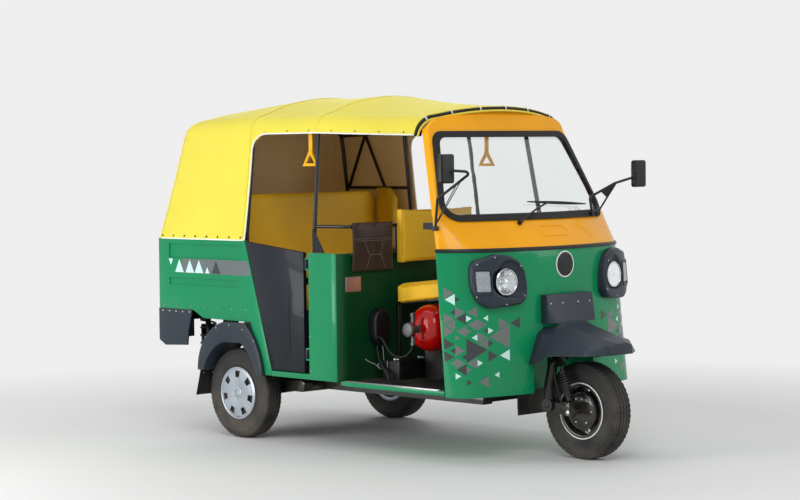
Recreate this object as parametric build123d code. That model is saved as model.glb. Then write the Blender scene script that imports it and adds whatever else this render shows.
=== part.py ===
"""Three-wheeled passenger auto rickshaw, as an assembly of separate named pieces.

Millimetres, +Z up, front towards -Y, the vehicle's right side towards -X.
Everything is drawn in stations: y is measured rearwards from the front axle and z up from
the ground. save() then moves each piece so that the origin is at the middle of the
vehicle's footprint, on the ground. Pieces that come in pairs are drawn on the right (-X)
and mirrored to the left.
"""
import os
from math import atan2, cos, pi, radians, sin, sqrt, tan

from build123d import *

os.makedirs("parts", exist_ok=True)

# ---------------------------------------------------------------- driving dimensions
wheelbase = 2010            # front axle to rear axle
rear_track = 1170           # between the middles of the rear tyres
tyre_radius = 250
tyre_width = 120
rim_radius = 145            # over the rim's flange
bead_radius = 131           # where the tyre sits on the rim
axle_radius = 12.5
body_half = 680             # half width at the belt line
rear_end = 2665             # rearmost face, the tail lamps
box_end = 2652              # rear face of the load box
belt_z = 1084               # joint of the green and the orange panel
sill_z = 345                # underside of the cab shell
floor_z = 372               # top of the cab floor
floor_thick = 24
wall = 24                   # thickness of the lower panels
screen_wall = 22            # thickness of the upper front shell
seam = 0.3                  # gap between neighbouring pieces of one body
play = 0.05                 # radial clearance of a turning fit
swing_gap = 6               # gap round a panel that swings
roof_z = 1893               # crown of the canopy
hem_z = 1105                # lower hem of the canopy over the load box
canopy_thick = 10
tube_r = 11                 # canopy frame tubes
rear_axle = wheelbase
front_axle_y = -(rear_end - tyre_radius) / 2   # shift from stations to the kept frame


# ---------------------------------------------------------------- small helpers
def prism_yz(points, x0, x1):
    """Solid with outline points (y, z), reaching from x0 to x1."""
    plane = Plane(origin=(x0, 0, 0), x_dir=(0, 1, 0), z_dir=(1, 0, 0))
    face = make_face(plane * Polyline(*points, close=True))
    return extrude(face, x1 - x0, dir=(1, 0, 0))


def prism_xz(points, y0, y1):
    """Solid with outline points (x, z), reaching from y0 to y1."""
    plane = Plane(origin=(0, y0, 0), x_dir=(1, 0, 0), z_dir=(0, -1, 0))
    face = make_face(plane * Polyline(*points, close=True))
    return extrude(face, y1 - y0, dir=(0, 1, 0))


def prism_xy(points, z0, z1):
    """Solid with outline points (x, y), reaching from z0 to z1."""
    face = make_face(Plane.XY.offset(z0) * Polyline(*points, close=True))
    return extrude(face, z1 - z0, dir=(0, 0, 1))


def block(x0, x1, y0, y1, z0, z1):
    """Axis-aligned box between two corners."""
    middle = ((x0 + x1) / 2, (y0 + y1) / 2, (z0 + z1) / 2)
    return Pos(*middle) * Box(abs(x1 - x0), abs(y1 - y0), abs(z1 - z0))


def rod(start, end, radius):
    """Round bar between two points."""
    axis = Vector(*end) - Vector(*start)
    return extrude(Plane(origin=start, z_dir=axis.normalized()) * Circle(radius), axis.length)


def bent_rod(points, radius, bend):
    """Round bar along points, with tangent bends of one radius."""
    path = FilletPolyline(*points, radius=bend)
    return sweep(Plane(origin=path @ 0, z_dir=path % 0) * Circle(radius), path=path)


def disc_x(x0, x1, y, z, radius):
    """Round disc whose axis runs along X."""
    return rod((x0, y, z), (x1, y, z), radius)


def both(piece):
    """The piece and its mirror image on the vehicle's left."""
    return Compound(children=[*piece.solids(), *mirror(piece, about=Plane.YZ).solids()])


def left_of(piece):
    """The mirror image of a right-hand piece."""
    return mirror(piece, about=Plane.YZ)


def save(name, piece):
    """Write one node, moved from stations to the kept frame."""
    solids = [Pos(0, front_axle_y, 0) * s for s in piece.solids()]
    shape = solids[0] if len(solids) == 1 else Compound(children=solids)
    shape.label = name
    export_step(shape, f"parts/{name}.step")


# ---------------------------------------------------------------- front of the body
# Plan sections of the front, lowest first. Each is a wide front arc and a cheek arc that is
# tangent to it at the shoulder; the cheek ends at edge_y, where the door opening starts.
# columns: z, nose_y, front_radius, shoulder_x, cheek_radius, edge_y
shell_sections = [
    (sill_z, 145, 2200, 560, 150, 362),
    (belt_z, 150, 1400, 450, 420, 415),
]
screen_sections = [
    (belt_z, 150, 1400, 450, 420, 415),
    (1235, 282, 1473, 625, 60, 475),
    (1690, 578, 4678, 500, 50, 654),
    (1830, 612, 4678, 490, 50, 690),
]


def plan_section(row, inset, back_y, lift=0):
    """Closed plan outline of one section, moved inwards by inset, flat at back_y."""
    z, nose_y, front_r, shoulder_x, cheek_r, edge_y = row
    front_mid_y = nose_y + front_r
    lean = atan2(shoulder_x, sqrt(front_r ** 2 - shoulder_x ** 2))
    cheek_x = shoulder_x - cheek_r * sin(lean)
    cheek_y = front_mid_y - (front_r - cheek_r) * cos(lean)
    turn = atan2(sqrt(max(cheek_r ** 2 - (cheek_y - edge_y) ** 2, 0)), cheek_y - edge_y)

    def on(cx, cy, r, angle, side):
        return (side * (cx + r * sin(angle)), cy - r * cos(angle), z + lift)

    r1 = front_r - inset
    r2 = cheek_r - inset
    half = (lean + turn) / 2
    edge = on(cheek_x, cheek_y, r2, turn, 1)
    shoulder = on(cheek_x, cheek_y, r2, lean, 1)
    middle = on(cheek_x, cheek_y, r2, half, 1)
    mirrored = [(-p[0], p[1], p[2]) for p in (edge, middle, shoulder)]
    wire = Wire([
        Edge.make_three_point_arc(edge, middle, shoulder),
        Edge.make_three_point_arc(shoulder, (0, front_mid_y - r1, z + lift), mirrored[2]),
        Edge.make_three_point_arc(mirrored[2], mirrored[1], mirrored[0]),
        Edge.make_line(mirrored[0], (mirrored[0][0], back_y, z + lift)),
        Edge.make_line((mirrored[0][0], back_y, z + lift), (edge[0], back_y, z + lift)),
        Edge.make_line((edge[0], back_y, z + lift), edge),
    ])
    return Face(wire)


def front_form(rows, inset, back_y):
    """Solid block behind the front surface, moved inwards by inset."""
    return loft([plan_section(row, inset, back_y) for row in rows], ruled=True)


well_half = 232             # half width of the front wheel's well
well_top = 566
well_back = 296
slot_half = 52              # slot in the shell for the steering column
slot_top = 836

outer = front_form(shell_sections, 0, 800)
inner = front_form(shell_sections, wall, 900)
well_cut = block(-well_half, well_half, -400, well_back, 0, well_top)
slot_cut = block(-slot_half, slot_half, -400, 300, well_top - 1, slot_top)
opening_edge = prism_yz([(362, sill_z - 5), (415, belt_z + 5), (1500, belt_z + 5),
                         (1500, sill_z - 5)], -900, 900)
front_shell = outer - inner - well_cut - slot_cut - opening_edge

# Panel that closes the front wheel's well behind the tyre
t_well = 4
side_x = well_half + t_well
well_lap = 152              # where the well's panels meet the shell
well = (block(-side_x, side_x, well_back, well_back + t_well, sill_z, well_top + t_well)
        + block(-side_x, side_x, well_lap + 12, well_back, well_top, well_top + t_well)
        + both(block(-side_x, -well_half, well_lap + 12, well_back + t_well, sill_z, well_top)))
front_shell = front_shell + well
save("front_shell", front_shell)

# Windscreen, its rubber seal and the orange shell that holds them
# columns: half width at the bottom and top, bottom z, top z, corner radius
seal_out = (634, 508, 1228, 1689, 78)
glass_out = (602, 476, 1261, 1656, 54)


def screen_outline(size, y0, y1):
    """Rounded trapezoid seen from the front, reaching from y0 to y1."""
    low, high, z0, z1, corner = size
    plane = Plane(origin=(0, y0, 0), x_dir=(1, 0, 0), z_dir=(0, -1, 0))
    shape = Polyline((-low, z0), (low, z0), (high, z1), (-high, z1), close=True)
    face = make_face(shape)
    face = fillet(face.vertices(), corner)
    return extrude(plane * face, y1 - y0, dir=(0, 1, 0))


def grown(size, by):
    """Screen outline moved outwards by a distance."""
    low, high, z0, z1, corner = size
    return (low + by, high + by, z0 - by, z1 + by, corner + by)


# Canopy cross sections, seen from the front: straight sides, a shoulder arc, a crown arc.
# columns: station y, half width at the hem, half width and z at the shoulder's foot, crown z
roof_sections = [
    (560, body_half + 2, 543, 1676, 1812),
    (1385, body_half + 2, 602, 1700, roof_z),
    (1920, body_half + 2, 606, 1700, roof_z),
    (2700, body_half + 2, 588, 1690, 1836),
]
shoulder_in = 110
shoulder_up = 96


def roof_outline(row, inset, bottom_z):
    """Closed outline of one canopy cross section, moved inwards by inset."""
    y, hem_half, foot_half, foot_z, crown = row
    foot = foot_half - inset
    slope = (hem_half - foot_half) / (foot_z - hem_z)
    low = foot + slope * (foot_z - bottom_z)
    arc_end = (foot_half - shoulder_in, foot_z + shoulder_up - inset)
    bulge = (foot - shoulder_in * 0.26, foot_z + (shoulder_up - inset) * 0.62)
    points = [(-low, bottom_z), (-foot, foot_z), (-bulge[0], bulge[1]), (-arc_end[0], arc_end[1]),
              (0, crown - inset), arc_end, bulge, (foot, foot_z), (low, bottom_z)]
    p = [(a, y, b) for a, b in points]
    wire = Wire([
        Edge.make_line(p[0], p[1]),
        Edge.make_three_point_arc(p[1], p[2], p[3]),
        Edge.make_three_point_arc(p[3], p[4], p[5]),
        Edge.make_three_point_arc(p[5], p[6], p[7]),
        Edge.make_line(p[7], p[8]),
        Edge.make_line(p[8], p[0]),
    ])
    return Face(wire)


def roof_form(inset, bottom_z, rows=roof_sections):
    """Solid block under the canopy surface, moved inwards by inset."""
    return loft([roof_outline(row, inset, bottom_z) for row in rows], ruled=True)


header_rows = [(0, *roof_sections[0][1:]), (760, *roof_sections[0][1:])]
header_arch = roof_form(canopy_thick + 3, belt_z - 20, header_rows)
screen_outer = front_form(screen_sections, 0, 800)
screen_inner = front_form(screen_sections, screen_wall, 900)
opening_back = prism_yz([(415, belt_z - 5), (415, belt_z), (475, 1235), (654, 1690), (690, 1830),
                         (1500, 1830), (1500, belt_z - 5)], -900, 900)
upper_shell = (screen_outer - screen_inner - opening_back) & header_arch
upper_shell = upper_shell - screen_outline(grown(seal_out, seam), 100, 900)
upper_shell = upper_shell & block(-900, 900, 0, 900, belt_z + seam, 1900)
save("upper_shell", upper_shell)

seal_form = front_form(screen_sections, -8, 800) - front_form(screen_sections, screen_wall + 4, 900)
seal_ring = screen_outline(seal_out, 100, 900) - screen_outline(glass_out, 90, 910)
save("windscreen_seal", seal_form & seal_ring)
glass_form = front_form(screen_sections, 6, 800) - front_form(screen_sections, 12, 900)
save("windscreen", glass_form & screen_outline(grown(glass_out, -seam), 100, 900))

# Moulding over the joint of the two front panels
belt_half = 9
belt_stand = 7


def nose_form(inset, back_y):
    """Both front forms together, moved inwards by inset."""
    return (front_form(shell_sections, inset, back_y)
            + front_form(screen_sections[:2], inset, back_y))


moulding = nose_form(-belt_stand, 800) - nose_form(-seam, 900)
moulding = moulding & block(-900, 900, 0, 412, belt_z - belt_half, belt_z + belt_half)
save("belt_moulding", moulding)

# Headlamp housings: outline seen from the front, standing proud of the shell
# columns: x, z of the housing's outline on the right side
housing_outline = [(-614, 938), (-612, 1008), (-592, 1038), (-530, 1044), (-460, 1064), (-392, 1058),
                   (-336, 1032), (-300, 975), (-290, 905), (-292, 835), (-330, 803), (-438, 794),
                   (-537, 790), (-588, 824), (-611, 884)]
lamp_x = 413
lamp_z = 922
lamp_r = 70
housing_stand = 46
housing = prism_xz(housing_outline, -200, 600)
proud = front_form(shell_sections, -housing_stand, 800)
skin = front_form(shell_sections, -seam, 900)
housing = (housing & proud) - skin
lamp_hole = rod((-lamp_x, -200, lamp_z), (-lamp_x, 600, lamp_z), lamp_r + 1)
indicator = block(-560, -492, -200, 600, 865, 985)
lamp_bed = front_form(shell_sections, -12, 900)
housing = housing - ((lamp_hole + indicator) - lamp_bed)
save("headlamp_housings", both(housing))

lens_form = front_form(shell_sections, -34, 800) - front_form(shell_sections, -12 - seam, 900)
lens = rod((-lamp_x, -200, lamp_z), (-lamp_x, 600, lamp_z), lamp_r) & lens_form
repeater = block(-559, -493, -200, 600, 866, 984) & lens_form
save("headlamps", both(lens + repeater))


# ---------------------------------------------------------------- front mudguard
# Visor over the front wheel, fixed to the nose by a box-shaped neck.
guard_thick = 4
guard_nose = -226
# columns: station y, half width at the lower edge, lower z, half width of the top, top z
guard_rows = [
    (guard_nose, 88, 548, 84, 606),
    (-150, 205, 548, 128, 634),
    (60, 252, 541, 160, 688),
    (120, 268, 500, 172, 716),
    (142, 274, 470, 176, 736),
]


def guard_outline(row, inset):
    """Closed front view of one visor section, moved inwards by inset, open below by a margin."""
    y, low_half, low_z, top_half, top_z = row
    low = low_half - inset
    bottom = low_z - (2 if inset else 0)
    shoulder = (low_half + 2 * top_half) / 3 - inset
    shoulder_z = (low_z + 2 * top_z) / 3 + 6 - inset
    top = top_half * 0.55
    points = [(-low, bottom), (-shoulder, shoulder_z), (-top, top_z - inset), (top, top_z - inset),
              (shoulder, shoulder_z), (low, bottom)]
    corners = [(a, y, b) for a, b in points]
    sides = [Edge.make_line(corners[i - 1], corners[i]) for i in range(len(corners))]
    return Face(Wire(sides))


guard_inner_rows = [(guard_nose + guard_thick, *guard_rows[0][1:]), *guard_rows[1:-1],
                    (300, *guard_rows[-1][1:])]
guard_outer = loft([guard_outline(row, 0) for row in guard_rows[:-1] + [(300, *guard_rows[-1][1:])]],
                   ruled=True)
guard_inner = loft([guard_outline(row, guard_thick) for row in guard_inner_rows], ruled=True)
neck_half_low = 178
neck_half_top = 174
neck_front = [(96, 700), (118, 846), (300, 846), (300, 700)]
neck = prism_yz(neck_front, -neck_half_low, neck_half_low)
neck_core = prism_yz([(92 + 5, 680), (118 + 5, 846 - 5), (300, 846 - 5), (300, 680)],
                     -neck_half_low + 5, neck_half_low - 5)
behind = front_form([(sill_z - 200, *shell_sections[0][1:]), *shell_sections], -seam, 900)
visor = guard_outer + neck
visor = visor - guard_inner - neck_core - behind
save("front_mudguard", visor.solids().sort_by(SortBy.VOLUME)[-1])

# ---------------------------------------------------------------- steering and front wheel
rake = 20                   # lean of the steering axis, degrees
pivot_y = 110               # steering axis at the height pivot_z
pivot_z = 560
column_r = 24
column_top_z = 1050
lean_y = sin(radians(rake))
lean_z = cos(radians(rake))


def on_axis(z):
    """Point of the steering axis at a height."""
    return (0, pivot_y + (z - pivot_z) * lean_y / lean_z, z)


steer_dir = Vector(0, lean_y, lean_z)
arm_x = -118                # plane of the fork leg and the swinging link
link_y = 148
link_z = 278
column = rod(on_axis(572), on_axis(column_top_z), column_r)
leg = bent_rod([on_axis(640), on_axis(548), (arm_x, 128, 500), (arm_x, 160, 370), (arm_x, link_y, 262)],
               26, 30)
leg_eye = disc_x(arm_x - 30, arm_x + 30, link_y, link_z, 34)
shock_top = (arm_x, 66, 500)
ear = prism_yz([(52, 482), (52, 522), (160, 522), (160, 470)], arm_x - 9, arm_x + 9)
fork = column + leg + leg_eye + ear
link_bore = disc_x(arm_x - 60, arm_x + 60, link_y, link_z, 12 + play)
link_slot = disc_x(arm_x - 14, arm_x + 14, link_y, link_z, 45)
fork = fork - link_bore - link_slot
save("steering_fork", fork)

# Swinging link from the fork's eye forward to the axle, with its pin and the stub axle
link_half = 13
link = prism_yz([(link_y + 26, link_z - 16), (link_y, link_z + 26), (0, 250 + 28), (-28, 250),
                 (0, 250 - 28), (link_y, link_z - 26)], arm_x - link_half, arm_x + link_half)
link_pin = disc_x(arm_x - 34, arm_x + 34, link_y, link_z, 12)
stub_end = 40
stub = disc_x(arm_x - 30, stub_end, 0, 250, axle_radius)
link_ear = prism_yz([(-2, 262), (-2, 300), (44, 300), (44, 262)], arm_x - 30, arm_x + link_half)
save("front_link", link + link_pin + stub + link_ear)

# Spring strut between the fork's ear and the link
strut_top = Vector(*shock_top) + Vector(0, 2, -24)
strut_foot = Vector(arm_x, 20, 304.6)
strut_dir = (strut_top - strut_foot).normalized()
strut = rod(tuple(strut_foot), tuple(strut_top - strut_dir * seam), 16)
coil = rod(tuple(strut_foot + strut_dir * 28), tuple(strut_top - strut_dir * 22), 27)
save("front_spring", strut + coil)

grip_half = 246             # handlebar, measured square to the steering axis
grip_back = 176
grip_up = 74


def steer_point(side, back, up):
    """Point given square to the steering axis: sideways, rearwards, and up along it."""
    base = on_axis(column_top_z)
    return (side, base[1] + back * lean_z + up * lean_y, base[2] - back * lean_y + up * lean_z)


bar_half_points = [(grip_half, grip_back, grip_up), (140, 52, 60), (0, 0, 24)]
bar_points = ([steer_point(-p[0], p[1], p[2]) for p in bar_half_points]
              + [steer_point(*p) for p in bar_half_points[1::-1]])
handlebar = bent_rod(bar_points, 11, 45)
clamp = rod(steer_point(0, 0, seam), steer_point(0, 0, 44), 30)
bar_end = Vector(*steer_point(-grip_half, grip_back, grip_up))
bar_bend = Vector(*steer_point(-bar_half_points[1][0], *bar_half_points[1][1:]))
grip_way = (bar_bend - bar_end).normalized()
grip_length = 112
grips = both(rod(tuple(bar_end - grip_way * 8), tuple(bar_end + grip_way * grip_length), 17))
save("handlebar", handlebar + clamp + grips)


def tyre(mid_x, y):
    """Tyre as a ring about the X axis, with a flat tread and bulging sides."""
    half = tyre_width / 2
    profile = [(-46, bead_radius + seam), (-47, rim_radius + 4), (-half, 198), (-52, 238),
               (-44, tyre_radius), (44, tyre_radius), (52, 238), (half, 198), (47, rim_radius + 4),
               (46, bead_radius + seam)]
    face = make_face(Polyline(*profile, close=True))
    ring = revolve(face, axis=Axis.X)
    return Pos(mid_x, y, tyre_radius) * ring


def wheel(mid_x, y, inward, disc_out):
    """Pressed wheel with its drum: inward is the side (+1 or -1) that the drum faces."""
    flange = 52
    profile = [(-flange, rim_radius), (-flange, bead_radius - 6), (flange, bead_radius - 6),
               (flange, rim_radius), (flange - 4.5, rim_radius), (flange - 4.5, bead_radius),
               (-flange + 4.5, bead_radius), (-flange + 4.5, rim_radius)]
    barrel = revolve(make_face(Polyline(*profile, close=True)), axis=Axis.X)
    plate = disc_x(disc_out - 3, disc_out + 3, 0, 0, bead_radius - 4)
    drum = disc_x(min(inward * 50, disc_out), max(inward * 50, disc_out), 0, 0, 88)
    body = barrel + plate + drum
    holes = [disc_x(-90, 90, 106 * cos(2 * pi * k / 8), 106 * sin(2 * pi * k / 8), 9)
             for k in range(8)]
    for hole in holes:
        body = body - hole
    bore = disc_x(-90, 90, 0, 0, axle_radius + play)
    return Pos(mid_x, y, tyre_radius) * (body - bore)


save("front_tyre", tyre(0, 0))
save("front_wheel", wheel(0, 0, -1, 12))

rear_x = -rear_track / 2
save("rear_tyre_right", tyre(rear_x, rear_axle))
save("rear_tyre_left", left_of(tyre(rear_x, rear_axle)))
# Hub cap: shallow dished disc with slots near its edge
cap_r = 143
slot_count = 7
cap_profile = [(-56, 0), (-56, 20), (-62, 60), (-62, 96), (-58, cap_r - 6), (-53.5, cap_r),
               (-52.4, cap_r), (-52.4, 125), (-57, 96), (-57, 60), (-53, 20), (-53, 0)]
cap = revolve(make_face(Polyline(*cap_profile, close=True)), axis=Axis.X)
for k in range(slot_count):
    turn = 360 * k / slot_count
    slot = prism_yz([(-21, 125), (21, 125), (15, 88), (-15, 88)], -80, -40)
    cap = cap - Rot(X=turn) * slot
cap_foot = disc_x(-53.5, -22, 0, 0, 18)
hubcap = Pos(rear_x, rear_axle, tyre_radius) * (cap + cap_foot)
rear_wheel = wheel(rear_x, rear_axle, 1, -20) + hubcap
save("rear_wheel_right", rear_wheel)
save("rear_wheel_left", left_of(rear_wheel))


# ---------------------------------------------------------------- cab floor and panels
partition_y = 1130
partition_top = 1050
panel_back_y = 1371         # rear edge of the B panel, where the door is hung
panel_bend = 64             # radius of the B panel's front corner
inner_half = body_half - wall - seam
shell_inside = front_form(shell_sections, wall + seam, partition_y - seam)
well_space = block(-side_x - seam, side_x + seam, 0, well_back + t_well + seam, 0, well_top)
floor = block(-body_half, body_half, 0, partition_y, floor_z - floor_thick, floor_z)
cab_floor = (floor & shell_inside) - well_space

sill_in = body_half - 36
sill_low = 356              # underside of the sill beside the doorway
sill = block(-body_half + 6, -sill_in, 369, partition_y - seam, sill_low, floor_z + 3)
save("cab_floor", cab_floor + both(sill))

# B panel: flat beside the door, turning inwards to the partition behind the driver
hinge_x = -body_half + 8
hinge_y = panel_back_y + 21
hinge_r = 5
hinge_heights = (505, 990)
knuckle_half = 24


def b_panel_plan(outer_x, bend, end_x, front_y):
    """Plan outline of the B panel's outer or inner skin as a solid up to the rear edge."""
    z0, z1 = floor_z - floor_thick + 22, partition_top
    plane = Plane.XY.offset(z0)
    line_a = Line((outer_x, panel_back_y), (outer_x, front_y + bend))
    arc = ThreePointArc((outer_x, front_y + bend),
                        (outer_x + bend * (1 - cos(pi / 4)), front_y + bend * (1 - sin(pi / 4))),
                        (outer_x + bend, front_y))
    line_b = Line((outer_x + bend, front_y), (end_x, front_y))
    line_c = Polyline((end_x, front_y), (end_x, panel_back_y), (outer_x, panel_back_y))
    return extrude(plane * make_face([line_a, arc, line_b, line_c]), z1 - z0, dir=(0, 0, 1))


panel_end_x = -body_half + panel_bend + 20
b_panel = (b_panel_plan(-body_half, panel_bend, panel_end_x, partition_y)
           - b_panel_plan(-body_half + wall, panel_bend - wall, panel_end_x + 1, partition_y + wall))
door_foot_y = 1681
under_door = block(-body_half, -body_half + wall, panel_back_y - 5, door_foot_y - seam, floor_z - 2,
                   floor_z + 27)
b_panel = b_panel + under_door
for z in hinge_heights:
    for side in (-1, 1):
        ear_z = z + side * (knuckle_half + 5)
        b_panel = b_panel + block(hinge_x - 7, hinge_x + 7, panel_back_y - 5, hinge_y + 7,
                                  ear_z - 4.5, ear_z + 4.5)
    b_panel = b_panel + rod((hinge_x, hinge_y, z - knuckle_half - 5),
                            (hinge_x, hinge_y, z + knuckle_half + 5), hinge_r)

partition_half = -panel_end_x + 1
partition = block(-partition_half, partition_half, partition_y, partition_y + 16, floor_z,
                  partition_top)
partition = partition + block(-partition_half, partition_half, partition_y - 12, partition_y + 16,
                              partition_top - 14, partition_top)
save("partition", partition + both(b_panel))

# Half doors of the passenger space, hung on their front edge
door_thick = 22
door_front = hinge_y + 18
door_outline = [(door_front, 1051), (1887, hem_z - 5), (1674, 408), (door_front, 404)]
door = prism_yz(door_outline, -body_half, -body_half + door_thick)
for z in hinge_heights:
    arm = block(hinge_x - 5, hinge_x + 5, hinge_y, door_front + 4, z - knuckle_half, z + knuckle_half)
    knuckle = rod((hinge_x, hinge_y, z - knuckle_half), (hinge_x, hinge_y, z + knuckle_half), 10)
    bore = rod((hinge_x, hinge_y, z - 40), (hinge_x, hinge_y, z + 40), hinge_r + play)
    door = (door + arm + knuckle) - bore
save("door_right", door)
save("door_left", left_of(door))

passenger_floor_z = 400
floor_corner = inner_half - panel_bend + wall
passenger_floor_outline = [(-inner_half, 1744), (-inner_half, partition_y + panel_bend + 6),
                           (-floor_corner, partition_y + wall + 6), (floor_corner, partition_y + wall + 6),
                           (inner_half, partition_y + panel_bend + 6), (inner_half, 1744)]
passenger_floor = prism_xy(passenger_floor_outline, passenger_floor_z - floor_thick, passenger_floor_z)
save("passenger_floor", passenger_floor)

# ---------------------------------------------------------------- load box and rear
side_outline = [(box_end, hem_z - seam), (1893, hem_z - seam), (door_foot_y, 400), (1683, 372),
                (1733, 372), (1852, 655), (2261, 660), (2349, 702), (box_end, 702)]
side_panel = prism_yz(side_outline, -body_half, -body_half + wall)
press_depth = 9
# pressed recesses of the side: rear y, front y, bottom z, top z
for y1, y0, z0, z1 in ((2560, 1915, 996, 1076), (2560, 1935, 841, 882)):
    recess = prism_yz([(y1, z0), (y0 + (z1 - z0) * 0.3, z0), (y0, z1), (y1, z1)],
                      -body_half - 1, -body_half + press_depth)
    side_panel = side_panel - recess
save("side_panels", both(side_panel))

rear_thick = 22
hatch_half = 505
hatch_low = 742
hatch_top = 1050
rear_frame = block(-inner_half, inner_half, box_end - rear_thick, box_end, 702, hem_z - seam)
rear_frame = rear_frame - block(-hatch_half - swing_gap, hatch_half + swing_gap, 2000, 2700,
                                hatch_low - swing_gap, hatch_top + swing_gap + 4)
hatch = block(-hatch_half, hatch_half, box_end - rear_thick, box_end - 1, hatch_low, hatch_top)
lid_y = box_end + 2
lid_z = hatch_top + 8
for x in (-340, 340):
    for side in (-1, 1):
        ear_x = x + side * (knuckle_half + 5)
        rear_frame = rear_frame + block(ear_x - 4.5, ear_x + 4.5, box_end - 12, lid_y + 6,
                                        lid_z - 6, lid_z + 10)
    pin = disc_x(x - knuckle_half - 5, x + knuckle_half + 5, lid_y, lid_z, hinge_r)
    rear_frame = rear_frame + pin
    notch = block(x - knuckle_half - 0.4, x + knuckle_half + 0.4, 2600, 2700, hatch_top, lid_z + 14)
    rear_frame = rear_frame - (notch - disc_x(x - 60, x + 60, lid_y, lid_z, hinge_r))
    strap = block(x - knuckle_half, x + knuckle_half, box_end - 4, box_end + 3, lid_z - 30, lid_z)
    hatch = (hatch + strap + disc_x(x - knuckle_half, x + knuckle_half, lid_y, lid_z, 9)
             - disc_x(x - 40, x + 40, lid_y, lid_z, hinge_r + play))
save("rear_frame", rear_frame)
plate_bolt_half = 140       # number plate's bolt holes, either side of the middle
plate_bolt_z = 860
plate_bolt_r = 3.5
for x in (-plate_bolt_half, plate_bolt_half):
    hatch = hatch - rod((x, box_end - rear_thick - 20, plate_bolt_z), (x, box_end + 20, plate_bolt_z),
                        plate_bolt_r)
save("rear_hatch", hatch)

lamp_low = 790
lamp_high = 960
tail_lamp = block(-648, -568, box_end + seam, rear_end, lamp_low, lamp_high)
save("tail_lamps", both(tail_lamp))

guard_top = 701.7
guard_outline_yz = [(box_end + 4, guard_top), (2356, guard_top), (2392, 580), (2402, 500), (2600, 490),
                    (box_end + 4, 520)]
guard_side = prism_yz(guard_outline_yz, -body_half - 2, -body_half + 8)
guard_back = block(-body_half - 2, -430, box_end - 6, box_end + 4, 522, 701.7)
rear_guard = guard_side + guard_back
save("rear_guards", both(rear_guard))

boot_z = 703
boot_floor = block(-inner_half, inner_half, 2238, box_end - rear_thick - seam, boot_z, boot_z + 18)


# Arch outline in side view: two arcs joined by a short flat top
def arch_face(rear_foot, rear_mid, rear_top, front_top, front_mid, front_foot):
    """Closed arch outline, open below, through three points on each flank."""
    return [ThreePointArc(rear_foot, rear_mid, rear_top), Line(rear_top, front_top),
            ThreePointArc(front_top, front_mid, front_foot), Line(front_foot, rear_foot)]


def arch_solid(points, x0, x1):
    """Arch outline made solid from x0 to x1."""
    plane = Plane(origin=(x0, 0, 0), x_dir=(0, 1, 0), z_dir=(1, 0, 0))
    return extrude(plane * make_face(arch_face(*points)), x1 - x0, dir=(1, 0, 0))


arch_foot = 368
arch_out = [(2290, arch_foot), (2206, 572), (2050, 650), (1880, 650), (1800, 560), (1737, arch_foot)]
arch_in = [(2240, arch_foot), (2166, 480), (2062, 536), (1918, 538), (1842, 470), (1788, arch_foot)]
arch_liner = [(2246, arch_foot), (2172, 485), (2064, 542), (1916, 544), (1837, 474), (1782, arch_foot)]
flare = arch_solid(arch_out, -body_half - 22, -body_half - seam)
flare = flare - arch_solid(arch_in, -900, -400)
liner_in = -rear_track / 2 + tyre_width / 2 + 34
liner = arch_solid(arch_liner, -body_half - 22, liner_in) - arch_solid(arch_in, -900, -400)

save("wheel_arches", both(flare + liner))

# Rubber mud flaps behind the rear wheels, leaning rearwards from the foot of the arch
flap_thick = 5
flap_y = 2274
flap_low = 222
flap_lean = 42
flap = prism_yz([(flap_y, arch_foot - seam), (flap_y + flap_thick, arch_foot - seam),
                 (flap_y + flap_lean + flap_thick, flap_low), (flap_y + flap_lean, flap_low)],
                -body_half - 10, liner_in - 14)
save("mud_flaps", both(flap))

# ---------------------------------------------------------------- chassis and running gear
rail_out = 335
rail_in = 265
rail_low = 275
rail_top = floor_z - floor_thick - seam
rail_end = 2500
chassis = both(block(-rail_out, -rail_in, 420, rail_end, rail_low, rail_top))
# cross members: front y, rear y, bottom z, top z
for y0, y1, z0, z1 in ((420, 480, 285, rail_top), (1150, 1210, 285, 335), (1600, 1680, 280, 335),
                       (2440, rail_end, rail_low, rail_top)):
    chassis = chassis + block(-rail_in - 1, rail_in + 1, y0, y1, z0, z1)
beam_z = 640
chassis = chassis + both(block(-rail_out, -rail_in, 2440, rail_end, rail_top - 1, boot_z - seam))
chassis = chassis + block(-600, 600, 2440, rail_end, beam_z, boot_z - seam)
eye_r = 14
eye_plate = prism_yz([(rail_end - 5, 285), (rail_end - 5, 335), (rail_end + 60, 335),
                      (rail_end + 60, 285)], -8, 8)
eye_y = rail_end + 34
chassis = (chassis + eye_plate) - disc_x(-30, 30, eye_y, 310, eye_r)
save("chassis_frame", chassis)

head_low = 860
head_top = 1030
head = rod(on_axis(head_low), on_axis(head_top), 36)
head = head + rod((0, on_axis(900)[1] + 26, 900), (0, 400, floor_z + seam + 8), 17)
head = head + block(-60, 60, 360, 440, floor_z + seam, floor_z + 14)
head = head + rod((-300, 300, 1010), (300, 300, 1010), 12)
head = head + block(-14, 14, 240, 300, 1000, 1020)
head = head - rod(on_axis(head_low - 300), on_axis(head_top + 60), column_r + play)
save("steering_head", head)

arm_in = -440
arm_out = -500
arm_outline = [(1612, 318), (1640, 334), (1700, 326), (2040, 285), (2500, 305), (2500, 272),
               (2040, 215), (1700, 270), (1620, 276)]
trailing = prism_yz(arm_outline, arm_out, arm_in)
trailing = trailing + disc_x(arm_in - 1, -rail_out - seam, 1645, 304, 20)
trailing = trailing + disc_x(rear_x - 22, arm_out + 1, rear_axle, tyre_radius, axle_radius)

spring_y = 2470
spring_x = -470
rear_spring = (rod((spring_x, spring_y, 300), (spring_x, spring_y, beam_z - seam), 16)
               + rod((spring_x, spring_y, 345), (spring_x, spring_y, beam_z - 35), 42))

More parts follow.
